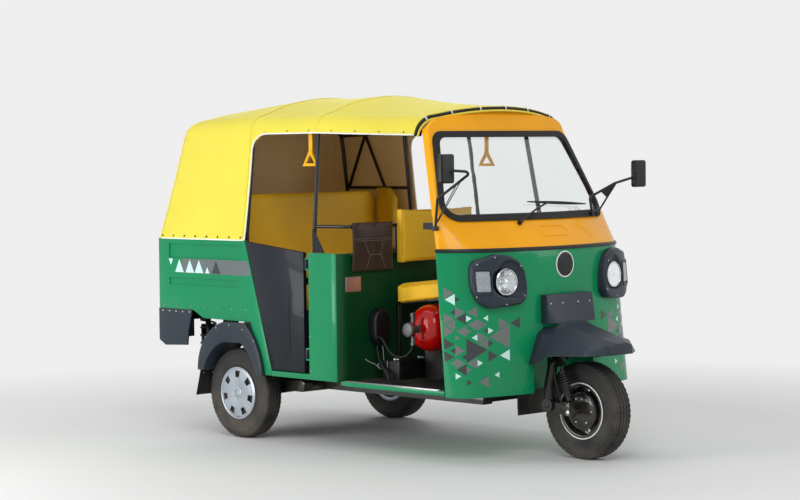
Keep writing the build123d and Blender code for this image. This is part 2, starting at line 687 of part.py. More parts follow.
engine_half = 230
engine = block(-engine_half, engine_half, 1930, 2438, 225, 610)
save("engine_block", engine)
shaft = disc_x(arm_in - 1, -engine_half - seam, rear_axle, tyre_radius, 14)
save("rear_suspension", both(trailing + shaft + rear_spring))

# ---------------------------------------------------------------- driver's place
gas_r = 125
gas_y = 800
gas_z = 654
gas_half = 420
dome = 96                   # rounding of the cylinder's ends
gas = disc_x(-gas_half, gas_half, 0, 0, gas_r)
gas = fillet(gas.edges().filter_by(GeomType.CIRCLE), dome)
valve = disc_x(-gas_half - 62, -gas_half + 2, gas_y, gas_z, 15)
valve = valve + rod((-gas_half - 40, gas_y, gas_z - 34), (-gas_half - 40, gas_y, gas_z + 40), 11)
valve = valve + disc_x(-gas_half - 84, -gas_half - 60, gas_y, gas_z, 26)
save("gas_cylinder", Pos(0, gas_y, gas_z) * gas + valve)

cradle = both(block(-262, -222, gas_y - 112, gas_y + 112, floor_z + seam, gas_z - 20))
cradle = cradle - disc_x(-600, 600, gas_y, gas_z, gas_r + seam)

seat_half = 330
seat_rear = 1085
seat_front = 640
seat_low_rear = 770
seat_low_front = 824
cushion_outline = [(seat_rear, seat_low_rear), (seat_rear, seat_low_rear + 96),
                   (seat_front, seat_low_front + 90), (seat_front, seat_low_front)]
save("driver_seat", prism_yz(cushion_outline, -seat_half, seat_half))

pan = 10
pan_outline = [(seat_rear, seat_low_rear - seam - pan), (seat_rear, seat_low_rear - seam),
               (seat_front, seat_low_front - seam), (seat_front, seat_low_front - seam - pan)]
frame = prism_yz(pan_outline, -seat_half + 20, seat_half - 20)
leg_x = seat_half - 34
for y in (seat_front + 14, seat_rear - 12):
    drop = (seat_rear - y) / (seat_rear - seat_front) * (seat_low_front - seat_low_rear)
    frame = frame + both(rod((-leg_x, y, floor_z + seam), (-leg_x, y, seat_low_rear - pan / 2 + drop), 11))
save("seat_frame", frame + cradle)

back_rest_half = 290
back_rest_low = 975
back_rest_top = 1290
rest_y = 1062
rest_thick = 54
back_rest = block(-back_rest_half, back_rest_half, rest_y, rest_y + rest_thick, back_rest_low,
                  back_rest_top)
save("driver_backrest", back_rest)

# Battery on the cab floor, in front of the partition's foot
battery = block(-438, -180, 930, 1062, floor_z + seam, floor_z + 104)
battery = fillet(battery.edges().filter_by(Axis.Z), 8)
posts = [Pos(x, 996, floor_z + 110) * Cylinder(9, 14) for x in (-400, -220)]
save("battery", battery + posts)

rail_z = 1190
rail_y = 1141
pole_foot = (-663, 1358, partition_top)
rail_r = 9
grab_rail = bent_rod([(-634, 1348, rail_z), (-590, rail_y, rail_z), (590, rail_y, rail_z),
                      (634, 1348, rail_z)], rail_r, 60)
grab_rail = grab_rail + both(rod((-250, rail_y, partition_top + seam), (-250, rail_y, rail_z), rail_r - 1))
grab_rail = grab_rail + both(block(-170, -130, rest_y + rest_thick + seam, rail_y, rail_z - 8, rail_z + 8))
save("grab_rail", grab_rail)

pouch = block(-600, -292, partition_y - 34, partition_y - 12 - seam, 950, 1214)
save("partition_pouch", pouch)

cover = prism_yz([(partition_y - 60, 560), (partition_y - 60, 740), (partition_y - seam, 750),
                  (partition_y - seam, 550)], -470, -350)
save("pipe_cover", cover)

dash_top = 1222
dash = block(-620, 620, 100, 560, dash_top - 34, dash_top) & front_form(
    screen_sections[:2], screen_wall + seam, 900)
save("dashboard", dash)


# ---------------------------------------------------------------- hoses and cables
# Each route is laid by hand; part of it hangs free. columns: x, y, z
def round_bends(name, points):
    """Bend radius at each inner point: 0.45 of the shorter run over the tangent of half the turn."""
    p = [Vector(*q) for q in points]
    radii = []
    for a, b, c in zip(p, p[1:], p[2:]):
        turn = radians((b - a).get_angle(c - b))
        radii.append(0.45 * min((b - a).length, (c - b).length) / tan(turn / 2))
    print(name, "length", round(sum((b - a).length for a, b in zip(p, p[1:]))),
          "radii", [round(r) for r in radii])
    return radii


def cord(name, points, radius):
    """Round cord along straight runs joined by tangent arcs."""
    path = FilletPolyline(*points, radius=round_bends(name, points))
    return sweep(Plane(origin=path @ 0, z_dir=path % 0) * Circle(radius), path=path)


gas_hose_r = 6.5
gas_hose_route = [(-460, 800, 619.7), (-460, 800, 585), (-464, 808, 546), (-474, 834, 516),
                  (-480, 872, 504), (-479, 912, 506), (-475, 950, 518), (-469, 986, 540),
                  (-464, 1012, 570), (-460, 1040, 600), (-460, 1069.7, 600)]
filler_hose_r = 7.5
filler_hose_route = [(-436, 1098, 553.5), (-436, 1098, 526), (-438, 1090, 500), (-445, 1074, 476),
                     (-454, 1052, 456), (-462, 1028, 438), (-469, 1002, 420), (-474, 976, 400),
                     (-474, 976, 372.4)]
lead_r = 1.8
lead_route = [(-405, 1090, 555.7), (-405, 1090, 537), (-405, 1084, 518), (-409, 1082, 502),
              (-407, 1080, 486), (-410, 1078, 471), (-405, 1077, 457), (-406, 1076, 443),
              (-414, 1076, 431), (-427, 1076, 425), (-441, 1077, 428), (-451, 1078, 437),
              (-453, 1078, 449), (-446, 1078, 459), (-434, 1077, 462), (-423, 1075, 457),
              (-418, 1072, 446), (-421, 1068, 434), (-432, 1065, 428), (-446, 1064, 432),
              (-461, 1064, 441), (-476, 1065, 452), (-492, 1067, 461), (-509, 1070, 467),
              (-527, 1074, 476), (-544, 1078, 488)]
brake_cable_r = 3.2
brake_cable_route = [(-127.3, 84, 503), (-144, 84, 503), (-160, 82, 494), (-171, 77, 474),
                     (-177, 70, 446), (-180, 61, 416), (-180, 52, 386), (-178, 43, 356),
                     (-174, 36, 328), (-170, 31, 304), (-162, 30, 287), (-148.3, 30, 287)]
save("gas_hose", cord("gas_hose", gas_hose_route, gas_hose_r))
save("filler_hose", cord("filler_hose", filler_hose_route, filler_hose_r))
save("loose_lead", cord("loose_lead", lead_route, lead_r))
save("brake_cable", cord("brake_cable", brake_cable_route, brake_cable_r))


# ---------------------------------------------------------------- canopy and its frame
canopy_front = 600          # front lip at the middle
lip_radius = 1763           # plan curve of the front lip
rear_profile = [(450, hem_z), (box_end + 5, hem_z), (2512, 1735), (2478, 1802), (2412, 1838),
                (2000, 1905), (1700, 1935), (450, 1935)]


def side_form(inset):
    """Block under the canopy's side profile, with the rear wall and its top moved in by inset."""
    keep = [(p[0] - (inset if p[0] > 2100 else 0), p[1] - (inset * 0.8 if 1700 < p[1] < 1850 else 0))
            for p in rear_profile]
    return prism_yz(keep, -900, 900)


canopy = roof_form(0, hem_z) & side_form(0)
canopy = canopy - (roof_form(canopy_thick, hem_z - 20) & side_form(canopy_thick))
canopy = canopy - block(-800, 800, 400, box_end + 5 - canopy_thick, hem_z - 30, hem_z + 8)
hem_rear = 1890
side_opening = [Line((400, 900), (hem_rear, 900)), Line((hem_rear, 900), (hem_rear, 1596)),
                ThreePointArc((hem_rear, 1596), (hem_rear - 26, 1664), (hem_rear - 92, 1692)),
                Line((hem_rear - 92, 1692), (1385, 1700)), Line((1385, 1700), (600, 1671)),
                Line((600, 1671), (400, 1671)), Line((400, 1671), (400, 900))]
opening_plane = Plane(origin=(-900, 0, 0), x_dir=(0, 1, 0), z_dir=(1, 0, 0))
canopy = canopy - extrude(opening_plane * make_face(side_opening), 1800, dir=(1, 0, 0))
lip_cut = Pos(0, canopy_front + lip_radius, 1500) * Cylinder(lip_radius, 1400)
canopy = canopy & lip_cut
save("canopy", canopy)

side_tube_x = inner_half - tube_r - seam
foot_in = canopy_thick + tube_r + 2


def hoop(y, foot_y, foot_z, row_foot, row_foot_z, crown):
    """Hoop under the canopy: legs, shoulders and a slightly arched top."""
    foot_x = row_foot - foot_in
    top = crown - foot_in - 4
    points = [(-side_tube_x, foot_y, foot_z), (-side_tube_x, foot_y, hem_z + 22),
              (-foot_x, y, row_foot_z), (-foot_x + 92, y, row_foot_z + 66), (0, y, top),
              (foot_x - 92, y, row_foot_z + 66), (foot_x, y, row_foot_z),
              (side_tube_x, foot_y, hem_z + 22), (side_tube_x, foot_y, foot_z)]
    return bent_rod(points, tube_r, 40)


frame_tubes = hoop(1385, 1358, partition_top + seam, 602, 1700, roof_z)
frame_tubes = frame_tubes + hoop(1912, 1912, 1010, 606, 1700, roof_z)
frame_tubes = frame_tubes + hoop(2440, 2440, 1010, 594, 1680, 1808)
brace_x = 619
brace_low = 1370
rail_points = [(-527, 664, 1672), (-580, 1385, 1700), (-584, 1912, 1700), (-572, 2440, 1681)]
for a, b in zip(rail_points, rail_points[1:]):
    frame_tubes = frame_tubes + both(rod(a, b, 9))
frame_tubes = frame_tubes + both(rod((-brace_x, 1912, brace_low), (-brace_x, 2440, brace_low), 9))
for foot in (2115, 2430):
    frame_tubes = frame_tubes + both(rod((-brace_x, foot, brace_low), (-578, 2240, 1688), 9))

stay_x = 240
stay = rod((stay_x, 534, dash_top + 3), (stay_x, 641, 1700), 12)
save("canopy_frame", Compound(children=[*frame_tubes.solids(), stay]))

# Hand straps: a webbing strap with a triangular handle, hung from the side rails
# columns: x, y of the strap, top z, handle top z, handle bottom z
strap_rows = [(-581, 1448, 1690.8, 1590, 1512), (569, 1232, 1684, 1573, 1497)]
straps = []
for x, y, top_z, handle_top_z, low_z in strap_rows:
    strap = block(x - 3, x + 3, y - 14, y + 14, handle_top_z - 4, top_z)
    outside = [(y, handle_top_z + 16), (y - 60, low_z), (y + 60, low_z)]
    inside = [(y, handle_top_z - 14), (y - 36, low_z + 15), (y + 36, low_z + 15)]
    ring = prism_yz(outside, x - 7, x + 7) - prism_yz(inside, x - 8, x + 8)
    straps.append(strap + ring)
save("hand_straps", Compound(children=[p.solid() for p in straps]))

# ---------------------------------------------------------------- passenger seat
cushion_half = 640
seat_box = (block(-inner_half, inner_half, 1746, 1764, passenger_floor_z + seam, 690)
            + block(-inner_half, inner_half, 1746, 2240, 672, 690)
            + block(-inner_half, inner_half, 2228, 2240, 672, 1100))
save("seat_box", seat_box + boot_floor)
rear_cushion = prism_yz([(1730, 690 + seam), (1730, 800), (1760, 826), (2120, 812), (2140, 690 + seam)],
                        -cushion_half, cushion_half)
save("rear_seat", rear_cushion)
rest_points = [(-600, 830), (600, 830), (600, 1320), (545, 1378), (-545, 1378), (-600, 1320)]
rest_plane = Plane(origin=(0, 2141.7, 0), x_dir=(1, 0, 0), z_dir=(0, -1, 0))
rear_rest = extrude(rest_plane * make_face(Polyline(*rest_points, close=True)), 86, dir=(0, 1, 0))
save("rear_backrest", rear_rest)

# Padded wings beside the bench, in line with the backrest's top
wing_y = 1972
wing_thick = 38
wing_outline = [(2141.4, 1000), (2141.4, 1376), (wing_y + 60, 1376), (wing_y, 1316), (wing_y, 1000)]
wing = prism_yz(wing_outline, -600, -600 + wing_thick)
save("bench_wings", both(wing))

# ---------------------------------------------------------------- wiper and mirrors
pivot_seat = Vector(-208, 274.9, 1210)
pivot_out = Vector(-0.106, -0.749, 0.654)
wiper_pivot = pivot_seat + pivot_out * 18
wiper = rod(tuple(pivot_seat + pivot_out * seam * 2), tuple(pivot_seat + pivot_out * 24), 12)
wiper = wiper + bent_rod([tuple(wiper_pivot), (-40, 297, 1285), (69, 323, 1311)], 5, 60)
wiper = wiper + bent_rod([(-70, 327, 1318), (157, 325.5, 1307), (385, 351, 1296)], 4, 200)
save("wiper", wiper)

mirror_r = 7
left_foot_y = 338           # where the left arm stands on the screen's lower edge


def mirror_head(x, y, z):
    """Rounded mirror housing about its middle."""
    return Pos(x, y, z) * fillet(Box(94, 38, 146).edges(), 12)


right_arm = bent_rod([(-668, 425, 1196), (-672, 405, 1345), (-664, 172, 1481), (-735, 262, 1490)],
                     mirror_r, 16)
right_foot = rod((-680, 428, 1196), (-650, 428, 1196), 12)
right_mirror = right_arm + right_foot + mirror_head(-748, 269, 1498)
left_arm = bent_rod([(440, left_foot_y, 1246), (436, 350, 1330), (590, 306, 1402), (735, 262, 1440)],
                    mirror_r, 16)
left_stay = rod((512, left_foot_y + 26, 1240), (600, 303, 1404.5), mirror_r - 2)
left_feet = (rod((440, left_foot_y + 12, 1246), (440, left_foot_y - 9, 1246), 13)
             + rod((512, left_foot_y + 38, 1240), (512, left_foot_y + 17, 1240), 13))
left_feet = left_feet - front_form(screen_sections, -8 - seam, 900)
left_mirror = left_arm + left_stay + left_feet + mirror_head(748, 269, 1452)
save("mirrors", Compound(children=[right_mirror.solid(), left_mirror.solid()]))
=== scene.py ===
"""Auto rickshaw: paint, canvas, cushions, tyres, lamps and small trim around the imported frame.

Places are written in millimetres from the ground under the front axle, as in the part's own
source, and at() turns them into the frame's metres: x to the left, y rearwards, z up.
"""
import math
import random

import bmesh
import bpy
from mathutils import Matrix, Vector, noise
from mathutils.bvhtree import BVHTree


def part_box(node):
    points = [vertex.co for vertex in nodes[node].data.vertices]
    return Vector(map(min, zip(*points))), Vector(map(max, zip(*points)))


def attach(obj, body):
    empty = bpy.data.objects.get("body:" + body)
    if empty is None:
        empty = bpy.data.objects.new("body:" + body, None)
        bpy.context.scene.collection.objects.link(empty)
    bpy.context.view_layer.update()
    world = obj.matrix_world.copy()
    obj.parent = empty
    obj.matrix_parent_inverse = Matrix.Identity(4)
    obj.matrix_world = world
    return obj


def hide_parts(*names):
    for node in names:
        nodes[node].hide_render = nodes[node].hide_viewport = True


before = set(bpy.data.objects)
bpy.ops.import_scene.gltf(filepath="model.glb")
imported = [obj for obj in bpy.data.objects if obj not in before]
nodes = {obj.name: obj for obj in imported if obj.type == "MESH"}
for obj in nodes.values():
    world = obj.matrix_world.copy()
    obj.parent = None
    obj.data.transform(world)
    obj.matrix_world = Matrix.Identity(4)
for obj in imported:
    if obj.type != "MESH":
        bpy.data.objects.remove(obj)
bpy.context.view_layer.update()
axle_low, axle_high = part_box("front_tyre")
AXLE_Y = (axle_low.y + axle_high.y) / 2
BODY = "body"
STEERING = "steering"
SIDES = ((-1, "right"), (1, "left"))
MM = 0.001


def at(x, y, z):
    """Point in the frame, in metres, from millimetres about the front axle."""
    return Vector((x * MM, AXLE_Y + y * MM, z * MM))


# ---------------------------------------------------------------- materials
def srgb(r, g, b):
    """Linear colour from a screen colour of 0 to 255."""
    def linear(c):
        c /= 255
        return c / 12.92 if c <= 0.04045 else ((c + 0.055) / 1.055) ** 2.4
    return (linear(r), linear(g), linear(b), 1.0)


def scaled(colour, k):
    """Colour with its channels times k."""
    return tuple(min(1.0, c * k) for c in colour[:3]) + (1.0,)


DUST = srgb(150, 138, 120)
CANVAS_PITCH = 0.0016       # between the canvas's threads, in metres
FINE = 0.0004               # depth of fine grain, in metres


class Finish:
    """One node material, built up by a few named steps."""

    def __init__(self, name, **values):
        self.material = bpy.data.materials.new(name)
        self.material.use_nodes = True
        self.tree = self.material.node_tree
        self.shader = self.tree.nodes["Principled BSDF"]
        for key, value in values.items():
            self.shader.inputs[key.replace("_", " ")].default_value = value
        self.coords = self.add("ShaderNodeTexCoord").outputs["Object"]
        self.last_bump = None
        self.last_colour = None

    def add(self, kind, **props):
        """New node of a kind with its settings."""
        node = self.tree.nodes.new(kind)
        for key, value in props.items():
            setattr(node, key, value)
        return node

    def link(self, a, b):
        self.tree.links.new(a, b)

    def noise(self, scale, detail=3.0, stretch=(1, 1, 1)):
        """Noise of a scale per metre; stretch widens it along an axis."""
        mapping = self.add("ShaderNodeMapping")
        mapping.inputs["Scale"].default_value = stretch
        self.link(self.coords, mapping.inputs["Vector"])
        texture = self.add("ShaderNodeTexNoise")
        texture.inputs["Scale"].default_value = scale
        texture.inputs["Detail"].default_value = detail
        self.link(mapping.outputs["Vector"], texture.inputs["Vector"])
        return texture.outputs["Fac"]

    def ramp(self, value, low, high, out_low=0.0, out_high=1.0):
        """Value stretched from one range to another, and held at its ends."""
        node = self.add("ShaderNodeMapRange")
        for key, v in (("From Min", low), ("From Max", high), ("To Min", out_low), ("To Max", out_high)):
            node.inputs[key].default_value = v
        self.link(value, node.inputs["Value"])
        return node.outputs["Result"]

    def times(self, a, b, operation="MULTIPLY"):
        """Product, or another operation, of two values."""
        node = self.add("ShaderNodeMath", operation=operation)
        self.link(a, node.inputs[0])
        self.link(b, node.inputs[1])
        return node.outputs["Value"]

    def mix(self, fac, colour):
        """Colour mixed over what is there, by a varying factor."""
        node = self.add("ShaderNodeMix", data_type="RGBA")
        self.link(fac, node.inputs["Factor"])
        if self.last_colour is None:
            node.inputs["A"].default_value = self.shader.inputs["Base Color"].default_value[:]
        else:
            self.link(self.last_colour, node.inputs["A"])
        node.inputs["B"].default_value = colour
        self.last_colour = node.outputs["Result"]
        self.link(self.last_colour, self.shader.inputs["Base Color"])
        return self

    def vary(self, scale, amount):
        """Lighter and darker clouds in the colour."""
        dark = scaled(self.shader.inputs["Base Color"].default_value, 1 - amount)
        return self.mix(self.ramp(self.noise(scale, 4.0), 0.35, 0.65), dark)

    def rough(self, scale, low, high):
        """Roughness that varies between two values."""
        self.link(self.ramp(self.noise(scale), 0.3, 0.7, low, high), self.shader.inputs["Roughness"])
        return self

    def bump(self, height, strength, distance):
        """Bump on top of those made before it."""
        node = self.add("ShaderNodeBump")
        node.inputs["Strength"].default_value = strength
        node.inputs["Distance"].default_value = distance
        self.link(height, node.inputs["Height"])
        if self.last_bump is not None:
            self.link(self.last_bump, node.inputs["Normal"])
        self.last_bump = node.outputs["Normal"]
        self.link(self.last_bump, self.shader.inputs["Normal"])
        return self

    def dust(self, top, amount):
        """Road dust that fades out upwards from the ground."""
        split = self.add("ShaderNodeSeparateXYZ")
        self.link(self.coords, split.inputs["Vector"])
        low = self.ramp(split.outputs["Z"], 0.18, top, amount, 0.0)
        patchy = self.ramp(self.noise(9.0, 6.0), 0.3, 0.75)
        return self.mix(self.times(low, patchy), DUST)

    def weave(self, strength):
        """Plain weave: threads along every axis, of which a face shows the two that cross it."""
        waves = []
        for direction in ("X", "Y", "Z"):
            wave = self.add("ShaderNodeTexWave", bands_direction=direction)
            wave.inputs["Scale"].default_value = 1 / CANVAS_PITCH / 20 * math.pi
            wave.inputs["Distortion"].default_value = 0.4
            self.link(self.coords, wave.inputs["Vector"])
            waves.append(wave.outputs["Fac"])
        threads = self.times(self.times(waves[0], waves[1], "ADD"), waves[2], "ADD")
        return self.bump(threads, strength, FINE)

    def grain(self, scale, strength):
        """Leathercloth grain of small cells."""
        cells = self.add("ShaderNodeTexVoronoi", feature="F1")
        cells.inputs["Scale"].default_value = scale
        self.link(self.coords, cells.inputs["Vector"])
        return self.bump(cells.outputs["Distance"], strength, FINE)


def painted(name, colour, rough=0.3, coat=0.22, dust=0.10):
    f = Finish(name, Base_Color=colour, Roughness=rough, Specular_IOR_Level=0.16,
               Coat_Weight=coat, Coat_Roughness=0.06)
    f.vary(2.2, 0.10)
    f.bump(f.noise(260.0, 2.0), 0.04, FINE)
    f.bump(f.noise(7.0, 2.0), 0.05, 0.004)
    return f.dust(0.6, dust)


def plastic(name, colour, rough=0.42, grain=700.0, strength=0.16, dust=0.10):
    f = Finish(name, Base_Color=colour, Roughness=rough, Specular_IOR_Level=0.28)
    f.vary(4.0, 0.12)
    f.grain(grain, strength)
    return f.dust(0.55, dust)


def metal(name, colour, rough=0.28, metallic=1.0):
    f = Finish(name, Base_Color=colour, Roughness=rough, Metallic=metallic)
    return f.vary(14.0, 0.16)


def vinyl(name, colour, shade):
    f = Finish(name, Base_Color=colour, Roughness=0.42, Specular_IOR_Level=0.35, Sheen_Weight=0.05)
    f.vary(5.0, shade).grain(520.0, 0.32)
    f.bump(f.noise(26.0, 3.0), 0.16, 0.003)
    return f.rough(40.0, 0.36, 0.52)


def canvas(name, colour, shade):
    f = Finish(name, Base_Color=colour, Roughness=0.68, Specular_IOR_Level=0.25, Sheen_Weight=0.06,
               Subsurface_Weight=0.5, Subsurface_Radius=(1.0, 0.85, 0.6), Subsurface_Scale=0.006)
    f.vary(1.6, shade)
    f.mix(f.ramp(f.noise(3.0, 5.0, (1, 1, 0.25)), 0.5, 0.85, 0.0, 0.18), scaled(colour, 0.86))
    f.bump(f.noise(9.0, 3.0, (1, 1, 0.35)), 0.25, 0.006)
    return f.weave(0.25)


def clear(name, colour, rough):
    f = Finish(name, Base_Color=colour, Roughness=rough, IOR=1.45, Transmission_Weight=1.0)
    return f.vary(3.0, 0.03)


def lens_solid(name, colour, rough, shade):
    f = Finish(name, Base_Color=colour, Roughness=rough, Coat_Weight=1.0)
    return f.vary(60.0, shade)


def tyre_rubber(name, colour):
    f = Finish(name, Base_Color=colour, Roughness=0.72)
    f.vary(30.0, 0.25).grain(900.0, 0.18)
    f.bump(f.noise(60.0, 4.0), 0.12, 0.0006)
    return f.dust(0.5, 0.22)


# Rows by the function that makes them. columns: key, material name, screen colour, then its settings
FINISHES = {
    painted: [
        ("green", "green_paint", (2, 142, 90)),
        ("green_side", "green_paint_side", (8, 136, 86)),
        # painted shade: a darker copy of the green, for the partition behind the driver and the seat box
        ("green_inside", "green_paint_inside", (4, 66, 34), 0.5, 0.05),
        ("orange", "orange_paint", (255, 174, 2), 0.3, 0.22, 0.0),
        ("dark_panel", "dark_panel", (22, 27, 35), 0.42, 0.12),
        ("black_paint", "black_paint", (22, 22, 24), 0.32, 0.5, 0.2),
        ("red_paint", "cylinder_red", (192, 8, 4), 0.2, 0.6, 0.0),
        ("decal_dark", "decal_dark", (58, 62, 63), 0.34, 0.5, 0.05),
        ("decal_grey", "decal_grey", (112, 118, 116), 0.34, 0.5, 0.05),
        ("decal_mint", "decal_mint", (206, 244, 236), 0.34, 0.5, 0.05),
        ("decal_band", "decal_band", (104, 112, 114), 0.34, 0.5, 0.05),
    ],
    plastic: [
        ("grey", "grey_plastic", (42, 50, 60), 0.4),
        ("black_plastic", "black_plastic", (24, 25, 27), 0.36),
        ("dash", "dash_plastic", (34, 36, 40), 0.55, 500.0, 0.25, 0.0),
        ("strap_yellow", "strap_yellow", (246, 184, 20), 0.32, 900.0, 0.05, 0.0),
        ("rubber", "black_rubber", (20, 20, 21), 0.55, 500.0, 0.12, 0.15),
        ("mat", "floor_mat", (26, 27, 28), 0.75, 260.0, 0.4, 0.3),
        ("lead", "lead_cover", (206, 204, 196), 0.45, 900.0, 0.04, 0.0),
        ("plate", "blank_plate", (235, 235, 228), 0.35, 900.0, 0.03, 0.0),
    ],
    metal: [
        ("chrome", "chrome", (226, 228, 230), 0.08),
        ("steel", "zinc_steel", (176, 178, 180), 0.3),
        ("silver", "wheel_silver", (176, 184, 192), 0.34, 0.55),
        ("casting", "cast_metal", (104, 104, 104), 0.55, 0.8),
        ("mirror", "mirror_glass", (225, 230, 234), 0.03),
        ("label", "blank_label", (190, 142, 128), 0.36, 0.4),
    ],
    tyre_rubber: [("tyre", "tyre_rubber", (24, 24, 25))],
    vinyl: [
        ("seat", "yellow_vinyl", (250, 196, 34), 0.10),
        ("seat_welt", "yellow_welt", (226, 168, 22), 0.12),
        ("pad_brown", "brown_vinyl", (60, 42, 34), 0.22),
    ],
    canvas: [
        ("canvas", "canopy_canvas", (240, 222, 80), 0.07),
        ("canvas_inside", "canopy_lining", (226, 204, 172), 0.12),
        ("piping", "white_piping", (244, 243, 236), 0.06),
        ("thread", "white_thread", (214, 208, 196), 0.06),
    ],
    clear: [
        ("glass", "screen_glass", (244, 249, 248), 0.0),
        ("lens", "lamp_lens", (250, 252, 253), 0.02),
    ],
    lens_solid: [
        ("red_lens", "red_lens", (184, 14, 10), 0.12, 0.3),
        ("amber_solid", "amber_solid", (235, 116, 10), 0.14, 0.25),
        ("white_lens", "white_lens", (158, 163, 172), 0.14, 0.2),
    ],
}
MATS = {key: make(name, srgb(*colour), *settings).material
        for make, rows in FINISHES.items() for key, name, colour, *settings in rows}


# ---------------------------------------------------------------- mesh helpers
SHARP_ANGLE = 38            # degrees from which an edge is softened
CAD_SMOOTH = 35             # degrees below which a CAD node's edges shade smoothly


def smooth_group(limit):
    """Node group that shades a mesh smooth across edges below an angle."""
    name = f"smooth_{limit}"
    if name in bpy.data.node_groups:
        return bpy.data.node_groups[name]
    tree = bpy.data.node_groups.new(name, "GeometryNodeTree")
    for way in ("INPUT", "OUTPUT"):
        tree.interface.new_socket("Geometry", in_out=way, socket_type="NodeSocketGeometry")
    source = tree.nodes.new("NodeGroupInput")
    out = tree.nodes.new("NodeGroupOutput")
    faces = tree.nodes.new("GeometryNodeSetShadeSmooth")
    edges = tree.nodes.new("GeometryNodeSetShadeSmooth")
    edges.domain = "EDGE"
    angle = tree.nodes.new("GeometryNodeInputMeshEdgeAngle")
    test = tree.nodes.new("FunctionNodeCompare")
    test.data_type = "FLOAT"
    test.operation = "LESS_THAN"
    test.inputs["B"].default_value = math.radians(limit)
    for start, end in ((angle.outputs["Unsigned Angle"], test.inputs["A"]),
                       (source.outputs[0], faces.inputs["Geometry"]),
                       (faces.outputs["Geometry"], edges.inputs["Geometry"]),
                       (test.outputs["Result"], edges.inputs["Shade Smooth"]),
                       (edges.outputs["Geometry"], out.inputs[0])):
        tree.links.new(start, end)
    return tree


def smooth(obj, limit):
    """Smooth shading across edges that turn less than limit degrees."""
    obj.modifiers.new("smooth", "NODES").node_group = smooth_group(limit)


def soften_edges(obj, width):
    """Narrow bevel along the sharp edges."""
    edge = obj.modifiers.new("edges", "BEVEL")
    edge.width = width
    edge.segments = 2
    edge.limit_method = "ANGLE"
    edge.angle_limit = math.radians(SHARP_ANGLE)


def thicken(obj, thickness):
    """Thickness, in metres, for a piece made as a thin surface."""
    obj.modifiers.new("thickness", "SOLIDIFY").thickness = thickness


def in_scene(name, data, body):
    """Piece of a mesh or curve that rides on a body."""
    obj = bpy.data.objects.new(name, data)
    bpy.context.scene.collection.objects.link(obj)
    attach(obj, body)
    return obj


def dress(name, material, bevel):
    """Material, softened edges and smooth shading on a CAD node."""
    obj = nodes[name]
    mesh = obj.data
    if "custom_normal" in mesh.attributes:
        mesh.attributes.remove(mesh.attributes["custom_normal"])
    mesh.materials.clear()
    mesh.materials.append(MATS[material])
    obj.modifiers.new("weld", "WELD").merge_threshold = 1e-5
    if bevel:
        soften_edges(obj, bevel)
    smooth(obj, CAD_SMOOTH)


class Build:
    """Vertices and faces gathered for one piece."""

    def __init__(self):
        self.verts = []
        self.faces = []
        self.slots = []

    def add(self, verts, faces, slot=0):
        """Points and faces of one material slot."""
        start = len(self.verts)
        self.verts += [Vector(v) for v in verts]
        self.faces += [[i + start for i in f] for f in faces]
        self.slots += [slot] * len(faces)

    def grid(self, rows, wrap=False, caps=False, slot=0):
        """Quads between rows of points; wrap closes each row, caps close the ends."""
        n = len(rows[0])
        verts = [p for row in rows for p in row]
        faces = []
        last = n if wrap else n - 1
        for i in range(len(rows) - 1):
            for j in range(last):
                k = (j + 1) % n
                faces.append([i * n + j, i * n + k, (i + 1) * n + k, (i + 1) * n + j])
        if caps:
            faces.append(list(range(n))[::-1])
            faces.append([(len(rows) - 1) * n + j for j in range(n)])
        self.add(verts, faces, slot)

    def lathe(self, profile, centre, axis, segments=48, slot=0, closed=False):
        """Turned shape from (distance along axis, radius) pairs in millimetres."""
        axis = Vector(axis).normalized()
        side = axis.orthogonal().normalized()
        up = axis.cross(side)
        rows = []
        for along, r in profile:
            ring = []
            for k in range(segments):
                a = 2 * math.pi * k / segments
                away = side * math.cos(a) + up * math.sin(a)
                ring.append(Vector(centre) + axis * (along * MM) + away * (r * MM))
            rows.append(ring)
        if closed:
            rows.append(rows[0])
        self.grid(rows, wrap=True, caps=not closed, slot=slot)

    def mm_grid(self, rows, **settings):
        """Grid of points given in millimetres."""
        self.grid([[at(*p) for p in row] for row in rows], **settings)

    def box(self, low, high):
        """Upright box between two corners."""
        (x0, y0, z0), (x1, y1, z1) = low, high
        v = [(x, y, z) for z in (z0, z1) for x, y in ((x0, y0), (x1, y0), (x1, y1), (x0, y1))]
        f = [[3, 2, 1, 0], [4, 5, 6, 7], [0, 1, 5, 4], [1, 2, 6, 5], [2, 3, 7, 6], [3, 0, 4, 7]]
        self.add(v, f)

    def screw(self, place, normal, r, height, slot=0):
        """Domed screw head with a recess, standing on a surface; its sizes are in millimetres."""
        profile = [(-0.6, r), (0.2, r * 1.02), (height * 0.55, r * 0.9), (height, r * 0.55),
                   (height * 1.02, r * 0.3), (height * 0.5, r * 0.24)]
        self.lathe(profile, place, normal, 14, slot)

    def done(self, name, materials, body, limit=35, record_slot=None, bevel=0.0, merge=0.0):
        """Piece made of what was gathered; merge is how near two points count as one."""
        mesh = bpy.data.meshes.new(name)
        mesh.from_pydata([tuple(v) for v in self.verts], [], self.faces)
        obj = in_scene(name, mesh, body)
        for material in [materials] if isinstance(materials, str) else materials:
            mesh.materials.append(MATS[material])
        mesh.polygons.foreach_set("material_index", self.slots)
        if merge:
            bm = bmesh.new()
            bm.from_mesh(mesh)
            bmesh.ops.remove_doubles(bm, verts=bm.verts, dist=merge)
            bmesh.ops.recalc_face_normals(bm, faces=bm.faces)
            bm.to_mesh(mesh)
            bm.free()
        if bevel:
            soften_edges(obj, bevel)
        if limit:
            smooth(obj, limit)
        return obj


